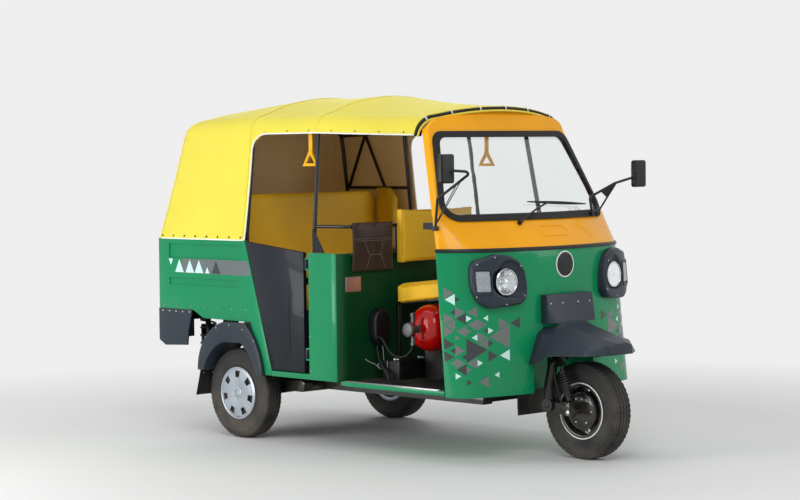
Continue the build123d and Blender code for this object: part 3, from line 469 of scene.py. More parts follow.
def curve_of(name, points, radius, material, curved, resolution, steps):
    """Curve and spline of a round bar along points: a smooth NURBS line, or straight runs."""
    data = bpy.data.curves.new(name, "CURVE")
    data.dimensions = "3D"
    data.bevel_depth = radius
    data.bevel_resolution = resolution
    data.use_fill_caps = True
    data.resolution_u = steps
    spline = data.splines.new("NURBS" if curved else "POLY")
    spline.points.add(len(points) - 1)
    for point, place in zip(spline.points, points):
        point.co = (*place, 1.0)
    if curved:
        spline.order_u = 3
        spline.use_endpoint_u = True
    data.materials.append(MATS[material])
    return data, spline


def tube(name, points, radius, material, body, cyclic=False, curved=True):
    """Round bar, welt or seam along points, as a curve."""
    data, spline = curve_of(name, points, radius, material, curved, 3, 6)
    spline.use_cyclic_u = cyclic
    in_scene(name, data, body)


def surface_of(*names):
    """Search tree over the meshes of CAD nodes."""
    verts, faces = [], []
    for name in names:
        mesh = nodes[name].data
        start = len(verts)
        verts += [v.co.copy() for v in mesh.vertices]
        faces += [[i + start for i in p.vertices] for p in mesh.polygons]
    return BVHTree.FromPolygons(verts, faces)


# ---------------------------------------------------------------- finishes of the CAD nodes
# columns: node, material, edge bevel in metres
cad_finishes = [
    ("front_shell", "green", 0.002), ("upper_shell", "orange", 0.002),
    ("belt_moulding", "black_plastic", 0.002), ("windscreen_seal", "rubber", 0.003),
    ("windscreen", "glass", 0.0), ("dashboard", "dash", 0.003), ("front_mudguard", "grey", 0.004),
    ("wiper", "black_plastic", 0.0), ("mirrors", "black_plastic", 0.0),
    ("cab_floor", "green", 0.001), ("partition", "green_side", 0.002),
    ("grab_rail", "black_paint", 0.0), ("pipe_cover", "black_plastic", 0.006),
    ("passenger_floor", "mat", 0.002), ("side_panels", "green_side", 0.002),
    ("rear_frame", "green_side", 0.002), ("rear_guards", "grey", 0.003),
    ("mud_flaps", "rubber", 0.001), ("battery", "black_plastic", 0.004),
    ("tail_lamps", "red_lens", 0.004), ("wheel_arches", "grey", 0.003),
    # the seat box takes the darker green of painted shade
    ("seat_box", "green_inside", 0.002), ("seat_frame", "black_paint", 0.001),
    ("gas_cylinder", "red_paint", 0.0), ("canopy_frame", "black_paint", 0.0),
    ("hand_straps", "strap_yellow", 0.0015), ("chassis_frame", "black_paint", 0.002),
    ("steering_head", "black_paint", 0.001), ("rear_suspension", "black_paint", 0.002),
    ("engine_block", "casting", 0.006), ("steering_fork", "black_paint", 0.0),
    ("handlebar", "black_plastic", 0.0), ("front_link", "black_paint", 0.002),
    ("front_wheel", "black_paint", 0.001), ("rear_wheel_right", "silver", 0.0012),
    ("rear_wheel_left", "silver", 0.0012), ("door_right", "dark_panel", 0.002),
    ("door_left", "dark_panel", 0.002), ("rear_hatch", "green_side", 0.002),
]
for cad_name, cad_material, cad_bevel in cad_finishes:
    dress(cad_name, cad_material, cad_bevel)

# Painted shade: behind the driver, and on its faces that look forwards, the partition takes a darker green
# than on its outer panels
INNER_X = 0.606             # half width, in metres, of the part behind the driver
inner_mesh = nodes["partition"].data
inner_mesh.materials.append(MATS["green_inside"])
for face in inner_mesh.polygons:
    if abs(face.center.x) < INNER_X or face.normal.y < -0.5:
        face.material_index = 1


# ---------------------------------------------------------------- canopy
# columns: y, half width at the hem, half width and z at the shoulder's foot, crown z
roof_rows = [
    (560, 682, 543, 1676, 1812),
    (1385, 682, 602, 1700, 1893),
    (1920, 682, 606, 1700, 1893),
    (2700, 682, 588, 1690, 1836),
]
# columns: z, y of the rear wall at that height
rear_line = [(1105, 2657), (1735, 2512), (1802, 2478), (1838, 2412), (1905, 2000)]
HEM_Z = 1105
HEM_X = 683                 # half width over the piping of the hem
HEM_REAR = 1890             # rear edge of the side openings
OPEN_ARC = 92               # how far the side's front edge curves forwards at its top
OPEN_ARC_Z = 1596           # height where that curve starts
LIP_FRONT = 600             # station of the front lip at its middle
LIP_RADIUS = 1763           # its bow, seen from above
HOOPS = (640, 1385, 1912, 2440)
CORNER = 46                 # rounding between the sides and the rear wall
REAR_HALF = 640             # half width the rear wall's rings are drawn in from
HEM_DROP = 9                # strip of cloth below the roof's edge
SHOULDER_STEPS = 8
CROWN_STEPS = 14


def between(table, value):
    """Row of a table, linearly between its entries, without the first column."""
    for a, b in zip(table, table[1:]):
        if value <= b[0] or b is table[-1]:
            t = min(1.0, max(0.0, (value - a[0]) / (b[0] - a[0])))
            return [p + t * (q - p) for p, q in zip(a[1:], b[1:])]
    return list(table[-1][1:])


def arc_through(p, q, r, t):
    """Point at share t of the circular arc from p through q to r, in a plane."""
    (ax, ay), (bx, by), (cx, cy) = p, q, r
    a2, b2, c2 = (x * x + y * y for x, y in (p, q, r))
    d = 2 * (ax * (by - cy) + bx * (cy - ay) + cx * (ay - by))
    ux = (a2 * (by - cy) + b2 * (cy - ay) + c2 * (ay - by)) / d
    uy = (a2 * (cx - bx) + b2 * (ax - cx) + c2 * (bx - ax)) / d
    start = math.atan2(ay - uy, ax - ux)
    end = math.atan2(cy - uy, cx - ux)
    turn = (end - start + math.pi) % (2 * math.pi) - math.pi
    radius = math.hypot(ax - ux, ay - uy)
    return (ux + radius * math.cos(start + turn * t), uy + radius * math.sin(start + turn * t))


def arch_point(y, k):
    """Point (x, z) of the right half of the roof at station y: k counts up from the foot."""
    _, foot, foot_z, crown = between(roof_rows, y)
    cap = min(crown, 1905 - 0.1626 * (y - 2000)) if y > 2000 else crown
    end = (-(foot - 110), foot_z + 96)
    bulge = (-(foot - 28.6), foot_z + 59.5)
    if k <= SHOULDER_STEPS:
        x, z = arc_through((-foot, foot_z), bulge, end, k / SHOULDER_STEPS)
    else:
        share = (k - SHOULDER_STEPS) / CROWN_STEPS
        x, z = arc_through(end, (0, crown), (-end[0], end[1]), share / 2)
    return x, foot_z + (z - foot_z) * (cap - foot_z) / (crown - foot_z)


def side_x(y, z):
    """Half width of the canopy's side at a station and height."""
    hem_half, foot, foot_z, _ = between(roof_rows, y)
    t = (foot_z - z) / (foot_z - HEM_Z)
    pull = 5 * math.sin(math.pi * min(1.0, max(0.0, t)))
    return -(foot + (hem_half - foot) * t - pull)


def rear_y(z):
    """Station of the rear wall at a height."""
    return between(rear_line, z)[0]


def end_station(k):
    """Station where a roof line meets the rear wall."""
    y = 2450.0
    for _ in range(12):
        y = 0.5 * y + 0.5 * rear_y(arch_point(y, k)[1])
    return y


def sag(y, k):
    """How far the cloth hangs between two hoops."""
    for a, b in zip(HOOPS, HOOPS[1:]):
        if a <= y <= b:
            share = (y - a) / (b - a)
            over = 0.35 + 0.65 * min(1.0, k / (SHOULDER_STEPS + CROWN_STEPS))
            return 8.0 * over * (0.5 - 0.5 * math.cos(2 * math.pi * share))
    return 0.0


def front_station(x):
    """Station of the bowed front lip at a half width."""
    return LIP_FRONT + LIP_RADIUS - math.sqrt(LIP_RADIUS ** 2 - x * x)


FOOT_END = end_station(0) - CORNER
FOOT_FRONT = front_station(between(roof_rows, 650)[1])
SPLIT = (HEM_REAR - OPEN_ARC - FOOT_FRONT) / (FOOT_END - FOOT_FRONT)
FRONT_STEPS, REAR_STEPS = 30, 24    # stations in front of the sides' front edge, and behind it
shares = [SPLIT * i / FRONT_STEPS for i in range(FRONT_STEPS)]
shares += [SPLIT + (1 - SPLIT) * i / REAR_STEPS for i in range(REAR_STEPS + 1)]


def roof_line(k):
    """Points from front to rear along one line of the roof's right half."""
    end = end_station(k) - CORNER
    start = front_station(abs(arch_point(650, k)[0]))
    line = []
    for s in shares:
        y = start + s * (end - start)
        x, z = arch_point(y, k)
        drop = sag(y, k)
        line.append((x * (1 - drop * 0.0004), y, z - drop * (0.2 if k < 3 else 1.0)))
    return line


def opening_y(z):
    """Front edge of the canopy's side below the shoulder."""
    if z <= OPEN_ARC_Z:
        return HEM_REAR
    up = min(1.0, (z - OPEN_ARC_Z) / 96)
    return HEM_REAR - OPEN_ARC + OPEN_ARC * math.sqrt(max(0.0, 1 - up * up))


def side_rows():
    """Rows of the canopy's right side below the roof line, from the top down."""
    rows = []
    foot_z = between(roof_rows, HEM_REAR)[2]
    for i in range(1, 15):
        z = foot_z + (HEM_Z - foot_z) * (i / 14) ** 0.9
        start = opening_y(z)
        end = rear_y(z) - CORNER
        row = []
        for s in shares[FRONT_STEPS:]:
            y = start + (s - SPLIT) / (1 - SPLIT) * (end - start)
            row.append((side_x(y, z), y, z))
        rows.append(row)
    return rows


def wrinkle(p):
    """Small folds of the cloth, a few millimetres deep and longer along the pull."""
    from_hem = min(1.0, max(0.0, (p[2] - HEM_Z) / 400))
    n = noise.noise(Vector((p[0] * 0.004, p[1] * 0.009, p[2] * 0.003)))
    m = noise.noise(Vector((p[0] * 0.012 + 7, p[1] * 0.02, p[2] * 0.006)))
    return (n * 2.0 + m * 0.8) * (0.4 + 0.6 * from_hem)


def mirrored(points):
    """Points carried over to the other side."""
    return [(-x, y, z) for x, y, z in points]


def both_halves(points):
    """Points of the right half carried on over the middle to the left."""
    return points + mirrored(points[-2::-1])


def make_canopy():
    """One cloth over the hoops: roof, sides and rear wall in a single sheet."""
    half = [roof_line(k) for k in range(SHOULDER_STEPS + CROWN_STEPS + 1)]
    front_edge = half[0][:FRONT_STEPS + 1]
    hem = [(x - 0.5, y, z - HEM_DROP) for x, y, z in front_edge]
    build = Build()
    whole = half + [mirrored(line) for line in half[-2::-1]]
    build.mm_grid(whole)
    for flip in (False, True):
        for rows in ([half[0][FRONT_STEPS:]] + side_rows(), [front_edge, hem]):
            build.mm_grid([mirrored(r) for r in rows] if flip else rows)
    # Rear wall: the end outline turns the corner and closes towards the middle of the hem
    outline = both_halves([r[-1] for r in side_rows()[::-1]] + [line[-1] for line in half])

    def drawn_in(shrink, station):
        """Outline drawn in towards the middle of the hem, each point at its own station."""
        ring = []
        for x, y, z in outline:
            low_z = HEM_Z + (z - HEM_Z) * shrink
            ring.append((x * shrink, station(y, low_z), low_z))
        return ring

    rows = [outline]
    for step in range(1, 7):
        a = math.pi / 2 * step / 6
        back = CORNER * (1 - math.sin(a))
        rows.append(drawn_in(1 - CORNER * (1 - math.cos(a)) / REAR_HALF,
                             lambda y, z: min(rear_y(z), y + CORNER + 64) - back))
    for step in range(1, 11):
        bow = 7 * math.sin(math.pi * step / 10)
        rows.append(drawn_in((1 - CORNER / REAR_HALF) * (1 - step / 10), lambda y, z: rear_y(z) - bow))
    build.mm_grid(rows)
    for v in build.verts:
        p = (v.x / MM, (v.y - AXLE_Y) / MM, v.z / MM)
        out = Vector((math.copysign(1, v.x), 0, 0))
        if v.z > 1.62:
            out = Vector((v.x, 0, v.z - 1.6)).normalized()
        if p[1] < rear_y(p[2]) - 20:
            v += out * (wrinkle(p) - 1.0) * MM
    obj = build.done("canopy_cloth", ["canvas", "canvas_inside"], BODY, 0, "canopy_fabric", merge=0.0006)
    if max(obj.data.polygons, key=lambda f: f.center.z).normal.z < 0:
        obj.data.flip_normals()
    thick = obj.modifiers.new("thickness", "SOLIDIFY")
    thick.thickness = 0.0022
    thick.offset = -1
    thick.material_offset = 1        # the inside shows the lining
    smooth(obj, 60)
    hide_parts("canopy")
    return obj, half


canopy, roof_half = make_canopy()


def canopy_line(name, points, radius, material="canvas"):
    """Welt, seam or seal along points in millimetres."""
    tube(name, [at(*p) for p in points], radius, material, BODY)


def canopy_trim():
    """White piping on the hems, welts and ties of the front edge, seams and snap studs."""
    rear_end_y = rear_y(HEM_Z)
    edge = [(x - 1, y, z - HEM_DROP) for x, y, z in roof_half[0][:FRONT_STEPS + 1]]
    for i in range(1, 9):
        z = 1692 - (1692 - OPEN_ARC_Z) * i / 8
        edge.append((side_x(opening_y(z), z) - 1, opening_y(z), z))
    for z in (1500, 1400, 1300, 1200, 1130):
        edge.append((side_x(HEM_REAR, z) - 1, HEM_REAR, z))
    edge.append((-HEM_X, HEM_REAR + 2, HEM_Z + 2))
    edge += [(-HEM_X, y, HEM_Z) for y in (HEM_REAR + 30, 2000, 2150, 2300, 2450, 2580)]
    edge += [(-682, rear_end_y - 40, HEM_Z), (-668, rear_end_y - 12, HEM_Z)]
    edge += [(x, rear_end_y + 1, HEM_Z) for x in (-640, -400, -150)]
    canopy_line("canopy_piping", edge + mirrored(edge[::-1]), 0.0042, "piping")

    lip = both_halves([line[0] for line in roof_half])
    canopy_line("canopy_front_welt", [(x, y - 1, z + 1) for x, y, z in lip], 0.0045)
    canopy_line("header_seal", [(x * 0.992, y - 9, z - 7) for x, y, z in lip], 0.0085, "rubber")
    canopy_line("header_welt", [(x * 0.985, y - 19, z - 19) for x, y, z in lip], 0.0055)
    ties = Build()
    for share in (0.12, 0.26, 0.40, 0.54, 0.68, 0.82, 0.92):
        i = int(share * (len(lip) - 1))
        x, y, z = lip[i]
        along = (at(*lip[i + 1]) - at(*lip[i - 1])).normalized()
        out = Vector((x * MM * 0.4, 0, 0.5)).normalized()
        path = [at(x, y + 16, z) + out * 0.004, at(x, y - 3, z) + out * 0.007,
                at(x * 0.992, y - 17, z - 5) + out * 0.006, at(x * 0.992, y - 22, z - 13)]
        ties.grid([[p - along * 0.004, p + along * 0.004] for p in path])
    thicken(ties.done("canopy_ties", "piping", BODY, 60, "canopy_fabric"), 0.0016)
    for i, y in enumerate((1385, 1912)):
        seam = []
        for k in range(SHOULDER_STEPS + CROWN_STEPS + 1):
            x, z = arch_point(y, k)
            seam.append((x * 1.001, y, z + 0.8))
        if y > HEM_REAR:
            seam = [(side_x(y, z) - 1.0, y, z) for z in (1112, 1250, 1400, 1550, 1680)] + seam
        canopy_line(f"canopy_seam_{i}", both_halves(seam), 0.0018)
    corner = [r[-1] for r in side_rows()[::-1]] + [line[-1] for line in roof_half]
    corner = [(x * 0.985, y + CORNER * 0.75, z - (10 if z > 1720 else 0)) for x, y, z in corner]
    canopy_line("canopy_corner_welt", both_halves(corner), 0.0038)

    studs = Build()
    stud_z = HEM_Z + 16
    for side in (-1, 1):
        for i in range(8):
            studs.screw(at(side * (HEM_X - 0.5), 1925 + 98 * i, stud_z), (side, 0, 0.2), 5.2, 3)
        for i in range(6):
            place = at(side * (60 + 110 * i), rear_y(stud_z) + 0.6, stud_z)
            studs.screw(place, (0, 1, 0.2), 5.2, 3)
        for i in range(6):
            y = 760 + 170 * i
            foot, foot_z = between(roof_rows, y)[1:3]
            studs.screw(at(side * (foot + 0.5), y, foot_z + 4), (side, 0, 0.2), 4, 2)
    studs.done("canopy_studs", "black_plastic", BODY, 40, "trim_black")


canopy_trim()


# ---------------------------------------------------------------- cushions
CLOTH_STEPS = 16
WELT_STEP = 0.012           # metres between the points of a welt


def pillow(name, node, voxel, swell, cap, pair=False):
    """Cushion swollen by a short cloth simulation from the frame's plain solid.

    swell is how much smaller it starts on each side, and cap how far a point may move.
    A pair is two solids, one on each side, which shrink about their own middles.
    """
    low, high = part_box(node)
    mesh = nodes[node].data.copy()
    obj = bpy.data.objects.new(name, mesh)
    bpy.context.scene.collection.objects.link(obj)
    if pair:
        groups = [[v for v in mesh.vertices if v.co.x * side > 0] for side in (-1, 1)]
    else:
        groups = [list(mesh.vertices)]
    for own in groups:
        for axis in range(3):
            first = min(v.co[axis] for v in own)
            last = max(v.co[axis] for v in own)
            middle = (first + last) / 2
            k = (last - first - 2 * swell) / (last - first)
            for v in own:
                v.co[axis] = middle + (v.co[axis] - middle) * k
    bm = bmesh.new()
    bm.from_mesh(mesh)
    bmesh.ops.remove_doubles(bm, verts=bm.verts, dist=1e-5)
    bm.to_mesh(mesh)
    bm.free()
    mesh.materials.clear()
    mesh.materials.append(MATS["seat"])
    bpy.context.view_layer.objects.active = obj
    remesh = obj.modifiers.new("remesh", "REMESH")
    remesh.mode = "VOXEL"
    remesh.voxel_size = voxel
    obj.modifiers.new("soften", "SMOOTH").iterations = 4
    settle(obj)
    rest = [v.co.copy() for v in obj.data.vertices]
    cloth = obj.modifiers.new("cloth", "CLOTH")
    cloth.settings.use_pressure = True
    for key, value in (("uniform_pressure_force", 4), ("quality", 4), ("mass", 0.3),
                       ("tension_stiffness", 18), ("compression_stiffness", 18),
                       ("bending_stiffness", 0.6)):
        setattr(cloth.settings, key, value)
    cloth.settings.effector_weights.gravity = 0
    cloth.collision_settings.use_collision = False
    scene = bpy.context.scene
    cloth.point_cache.frame_end = 20
    for number in range(1, CLOTH_STEPS + 1):
        scene.frame_set(number)
    settle(obj)
    scene.frame_set(1)
    for v, start in zip(obj.data.vertices, rest):
        move = v.co - start
        if move.length > cap:
            move *= cap / move.length
        v.co = start + move
        for axis in range(3):
            room = 0.006 if axis > 0 else 0.0    # the crown may stand past the plain solid
            v.co[axis] = min(high[axis] + room, max(low[axis], v.co[axis]))
    obj.modifiers.new("soften", "SMOOTH").iterations = 3
    settle(obj)
    for face in obj.data.polygons:
        face.use_smooth = True
    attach(obj, BODY)
    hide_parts(node)
    return obj


def settle(obj):
    """Bake a piece's modifiers into its mesh."""
    graph = bpy.context.evaluated_depsgraph_get()
    graph.update()
    baked = bpy.data.meshes.new_from_object(obj.evaluated_get(graph))
    obj.modifiers.clear()
    obj.data = baked


def welt(name, obj, points):
    """Piped seam that follows a cushion along points in millimetres."""
    mesh = obj.data
    tree = BVHTree.FromPolygons([v.co for v in mesh.vertices], [f.vertices[:] for f in mesh.polygons])
    corners = [at(*p) for p in points]
    path = []
    for a, b in zip(corners, corners[1:] + corners[:1]):
        count = max(2, int((b - a).length / WELT_STEP))
        path += [a.lerp(b, i / count) for i in range(count)]
    path = [tree.find_nearest(p)[0] for p in path]
    for _ in range(2):
        path = [(path[i - 1] + path[i] * 2 + path[(i + 1) % len(path)]) / 4 for i in range(len(path))]
    tube(name, path, 0.0032, "seat_welt", BODY, cyclic=True, curved=False)


def level_loop(x, y0, z0, y1, z1):
    """Corners of a seam round a seat, from its front edge to its rear edge."""
    return [(-x, y0, z0), (x, y0, z0), (x, y1, z1), (-x, y1, z1)]


def upright_loop(x, y, z0, z1):
    """Corners of a seam round a backrest's face."""
    return [(-x, y, z0), (x, y, z0), (x, y, z1), (-x, y, z1)]


def make_cushions():
    """Seats and backrests with a welt round each face; the numbers are millimetres."""
    seat = pillow("driver_cushion", "driver_seat", 0.009, 0.006, 0.014)
    back = pillow("driver_back_pad", "driver_backrest", 0.008, 0.006, 0.014)
    bench = pillow("bench_cushion", "rear_seat", 0.011, 0.007, 0.018)
    rest = pillow("bench_back_pad", "rear_backrest", 0.011, 0.007, 0.018)
    pillow("bench_wing_pads", "bench_wings", 0.006, 0.002, 0.007, pair=True)
    welt("driver_cushion_welt", seat, level_loop(330, 640, 914, 1085, 866))
    welt("driver_cushion_welt_low", seat, level_loop(330, 640, 824, 1085, 770))
    welt("driver_back_welt", back, upright_loop(280, 1062, 975, 1290))
    welt("driver_back_welt_rear", back, upright_loop(280, 1116, 975, 1290))
    welt("bench_welt", bench, level_loop(640, 1740, 818, 2130, 812))
    welt("bench_welt_low", bench, level_loop(640, 1730, 700, 2135, 700))
    welt("bench_back_welt", rest, [(-600, 2141, 830), (600, 2141, 830), (600, 2141, 1320),
                                   (545, 2141, 1378), (-545, 2141, 1378), (-600, 2141, 1320)])


make_cushions()


STITCH, STITCH_GAP = 6.0, 4.0
THREAD_R = 0.8              # thickness of the thread, from its middle
STITCH_LIFT = 0.5           # how far a stitch stands off the pad, towards the front


def stitches(build, path):
    """Short thread stitches along a path of points."""
    step = (STITCH + STITCH_GAP) * MM
    profile = [(0, THREAD_R * 0.4), (STITCH * 0.2, THREAD_R), (STITCH * 0.8, THREAD_R),
               (STITCH, THREAD_R * 0.4)]
    for a, b in zip(path, path[1:]):
        way = (b - a).normalized()
        for i in range(max(1, int((b - a).length / step))):
            start = a + way * (i * step + STITCH_GAP * MM / 2)
            build.lathe(profile, start - Vector((0, STITCH_LIFT * MM, 0)), way, 6)


# Strap loop from the pad over the rail. columns: y, z
LOOP_SHAPE = [(1098, 1188), (1112, 1204), (1130, 1207), (1147, 1202), (1153, 1190), (1147, 1176),
              (1131, 1170)]


def make_pouch():
    """Brown stitched pad that hangs from the grab rail in front of the partition."""
    x0, x1, z0, z1 = -598, -294, 952, 1212
    back_y = 1117
    cols, rows = 26, 24

    def front(i, j):
        u, v = i / cols, j / rows
        inside = 0 < i < cols and 0 < j < rows
        crown = (math.sin(math.pi * u) * math.sin(math.pi * v)) ** 0.45 if inside else 0
        flap = 4 if v > 0.66 else 0
        dent = 2.5 * math.exp(-((u - 0.5) / 0.05) ** 2) * (v < 0.55)
        waist = 5 * math.sin(math.pi * v)
        x = x0 + (x1 - x0) * u
        x = x + (waist if u < 0.5 else -waist) * abs(u - 0.5) * 2
        ripple = 1.2 * math.sin(9 * u + 5 * v)
        return (x, back_y - 4 - crown * (14 + flap) + dent * crown + ripple * crown, z0 + (z1 - z0) * v)

    def back(i, j):
        x, _, z = front(i, j)
        return (x, back_y, z)

    build = Build()
    build.mm_grid([[front(i, j) for i in range(cols + 1)] for j in range(rows + 1)])
    build.mm_grid([[back(i, j) for i in range(cols, -1, -1)] for j in range(rows + 1)])
    rim = [(i, 0) for i in range(cols + 1)] + [(cols, j) for j in range(1, rows + 1)]
    rim += [(i, rows) for i in range(cols - 1, -1, -1)] + [(0, j) for j in range(rows - 1, -1, -1)]
    build.mm_grid([[front(i, j) for i, j in rim], [back(i, j) for i, j in rim]])
    pad = build.done("pouch_pad", "pad_brown", BODY, 0, "brown_vinyl", merge=0.0004)
    pad.modifiers.new("soft", "SUBSURF").render_levels = 1
    smooth(pad, 60)
    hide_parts("partition_pouch")

    sew = Build()
    # rows and columns of the pad's own grid that the stitching follows
    lines = [[(1, 16), (25, 16)], [(1, 15), (25, 15)], [(6, 15), (10, 8), (17, 8), (19, 15)],
             [(10, 8), (8, 1)], [(17, 8), (21, 1)]]
    for line in lines:
        path = []
        for (i0, j0), (i1, j1) in zip(line, line[1:]):
            count = max(abs(i1 - i0), abs(j1 - j0))
            for n in range(count + 1):
                t = n / count
                path.append(at(*front(round(i0 + (i1 - i0) * t), round(j0 + (j1 - j0) * t))))
        stitches(sew, path)
    sew.done("pouch_stitches", "thread", BODY, 40, "brown_vinyl")
    loops = Build()
    for x in (-560, -446, -332):
        loops.mm_grid([[(x - 13, y, z), (x + 13, y, z)] for y, z in LOOP_SHAPE])
    thicken(loops.done("pouch_loops", "pad_brown", BODY, 60, "brown_vinyl"), 0.002)


make_pouch()


# ---------------------------------------------------------------- tyres and wheels
TYRE_R = 250
REAR_X = 585
REAR_Y = 2010
# Half of the tyre's section from the bead outwards. columns: x from the middle, radius
tyre_side = [(46, 131.4), (49, 140), (50.5, 147), (52, 149), (54, 163), (55.4, 165), (55.4, 168),
             (54.6, 170), (58.5, 186), (59.8, 198), (58.8, 210), (59.4, 212), (59.2, 215), (57.6, 218),
             (55.5, 228), (53.2, 233), (52.2, 238)]
# columns: x of the tread, radius, depth of the cross cuts there
tread_half = [(50.4, 243.6, 5), (45, 247.6, 5), (38.4, 248.9, 4), (36.6, 248.9, 0), (36.0, 243.0, 0),
              (31.8, 243.0, 0), (31.0, 249.3, 0), (22, 249.7, 2.5), (14.8, 249.8, 0), (14.2, 243.5, 0),
              (9.8, 243.5, 0), (9.2, 249.9, 0), (0, 250, 0)]
TREAD_CUTS = 54


def make_tyre(name, node, x_mm, y_mm, body):
    """Tyre with moulded side rings, four grooves round the tread and cuts across its ribs."""
    section = [(x, r, 0) for x, r in tyre_side] + list(tread_half)
    section = section + [(-x, r, c) for x, r, c in section[-2::-1]]
    build = Build()
    middle = at(x_mm, y_mm, TYRE_R)
    steps = TREAD_CUTS * 4
    rows = []
    for k in range(steps):
        a = 2 * math.pi * k / steps
        row = []
        for x, r, cut in section:
            r = r - (cut if k % 4 == 0 else 0)
            skew = 0.012 * (1 if x > 0 else -1) * (abs(x) > 20)
            row.append(middle + Vector((x, r * math.cos(a + skew), r * math.sin(a + skew))) * MM)
        rows.append(row)
    rows.append(rows[0])
    build.grid(rows, wrap=True)
    tyre = build.done(name, "tyre", body, 40, "tyre", merge=1e-5)
    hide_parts(node)


def front_trim(build, out):
    """Bright rim ring and wheel nuts on one side of the front wheel."""
    middle = at(0, 0, TYRE_R)
    ring = [(52.6, 146.2), (53.8, 145.2), (54.2, 142.5), (53.6, 140), (52.0, 139.6), (47.8, 138.6),
            (47.6, 139.8), (51.6, 141)]
    build.lathe(ring, middle, (out, 0, 0), 96, 0, closed=True)
    for k in range(4):
        a = math.pi / 4 + k * math.pi / 2
        place = middle + Vector((out * 15.2, 58 * math.cos(a), 58 * math.sin(a))) * MM
        build.lathe([(0, 11), (2, 11), (2, 9.5), (10, 9.5), (12, 7.5)], place, (out, 0, 0), 6, 1)
        build.lathe([(12, 5), (20, 5), (21, 4)], place, (out, 0, 0), 10, 1)


def make_front_wheel():
    """Tyre, trim on both sides, finned brake drum and axle nuts."""
    make_tyre("front_tyre_rubber", "front_tyre", 0, 0, "front_wheel")
    build = Build()
    front_trim(build, -1)
    front_trim(build, 1)
    # Finned brake drum on the right-hand side
    drum = [(-30, 90)]
    for i in range(4):
        drum += [(-33 - 4 * i, 90), (-33 - 4 * i, 96), (-35 - 4 * i, 96), (-35 - 4 * i, 90)]
    drum += [(-50, 88), (-52, 82), (-52, 40)]
    middle = at(0, 0, TYRE_R)
    build.lathe(drum, middle, (1, 0, 0), 64, 2)
    for k in range(6):
        a = k * math.pi / 3
        place = middle + Vector((-52, 68 * math.cos(a), 68 * math.sin(a))) * MM
        build.screw(place, (-1, 0, 0), 6.2, 4, 1)
    build.done("front_wheel_trim", ["piping", "steel", "black_paint"], "front_wheel", 35, "wheel_black")
    cap = Build()
    cap.lathe([(0, 21), (6, 21), (12, 17), (14, 8)], at(40.2, 0, TYRE_R), (1, 0, 0), 24)
    cap.lathe([(0, 16), (4, 16), (10, 15.5), (12, 12)], at(-148.5, 0, TYRE_R), (-1, 0, 0), 6)
    cap.done("axle_nuts", "steel", STEERING, 35)


def make_rear_wheel(side, word):
    """Tyre, spokes and rings of a rear wheel's hub cap, and its valve."""
    body = f"rear_wheel_{word}"
    make_tyre(f"rear_tyre_rubber_{word}", f"rear_tyre_{word}", side * REAR_X, REAR_Y, body)
    middle = at(side * REAR_X, REAR_Y, TYRE_R)
    build = Build()
    # raised rings and the pressed middle of the hub cap
    build.lathe([(57.0, 137), (59.6, 140), (60, 143), (58.4, 145.6), (55, 146.4), (53, 146), (53, 141)],
                middle, (side, 0, 0), 96, 0, closed=True)
    build.lathe([(56, 32), (60.4, 31), (62, 27), (61, 21), (57.5, 20)],
                middle, (side, 0, 0), 48, 0, closed=True)
    build.lathe([(55.8, 19), (59.2, 17), (60.4, 10), (60.6, 2)], middle, (side, 0, 0), 32, 0)
    for k in range(7):
        a = 2 * math.pi * (k + 0.5) / 7
        away = Vector((0, math.cos(a), math.sin(a)))
        across = Vector((0, -math.sin(a), math.cos(a)))
        rows = []
        for i in range(7):
            t = i / 6
            height = 62.2 + 2.2 * math.sin(math.pi * (i + 0.4) / 6.8)
            row = []
            for w, h in ((-1, -2.5), (-0.55, 0.7), (0, 1), (0.55, 0.7), (1, -2.5)):
                out = Vector((side * (height + (h - 1) * 1.2 - 2.6), 0, 0))
                row.append(middle + (away * (36 + 54 * t) + across * (w * (5.5 + 3.5 * t)) + out) * MM)
            rows.append(row)
        build.grid(rows)
    build.done(f"hub_cap_trim_{word}", "silver", body, 40, "wheel_silver")
    dark = Build()
    dark.lathe([(49.5, 128), (50.2, 126), (50.2, 88), (49.5, 84)],
               middle, (side, 0, 0), 64, 0, closed=True)
    dark.lathe([(46, 3.5), (62, 3.2), (63, 2)], middle + Vector((0, 0.0, -0.1335)), (side, 0, 0), 10)
    dark.done(f"hub_cap_shadow_{word}", "black_plastic", body, 40, "wheel_black")


make_front_wheel()
for wheel_side, wheel_word in SIDES:
    make_rear_wheel(wheel_side, wheel_word)

shell_tree = surface_of("front_shell")
band_tree = surface_of("upper_shell")


def on_front(tree, x, z):
    """Place and outward normal of the front of the body at x and z in millimetres."""
    place, normal, _, _ = tree.ray_cast(at(x, -600, z), Vector((0, 1, 0)))
    if normal.y > 0:
        normal = -normal
    return place, normal


# ---------------------------------------------------------------- lamps
LAMP_X, LAMP_Z = 413, 922
INDICATOR_X, INDICATOR_Z = 529, 925
# Outline of a lamp housing where it meets the shell, on the left side. columns: x, z
housing_line = [(558, 1038), (577, 1008), (581, 935), (578, 881), (555, 822), (510, 790), (438, 794),
                (330, 803), (294, 838), (290, 908), (302, 979), (337, 1031), (392, 1057), (460, 1064),
                (500, 1050), (531, 1042)]
HOUSING_TURNS = 120
BOWL_R = 74


def reach(angle):
    """Distance from the lamp's middle to the housing's outline at an angle."""
    way = (math.cos(angle), math.sin(angle))
    best = 0.0
    for (ax, az), (bx, bz) in zip(housing_line, housing_line[1:] + housing_line[:1]):
        ax, az, bx, bz = ax - LAMP_X, az - LAMP_Z, bx - LAMP_X, bz - LAMP_Z
        cross = way[0] * (bz - az) - way[1] * (bx - ax)
        if abs(cross) < 1e-6:
            continue
        along = (ax * (bz - az) - az * (bx - ax)) / cross
        share = (ax * way[1] - az * way[0]) / cross
        if along > 0 and -0.001 <= share <= 1.001:
            best = max(best, along)
    return best


def smooth_step(value):
    """0 to 1 with soft ends."""
    value = min(1.0, max(0.0, value))
    return value * value * (3 - 2 * value)


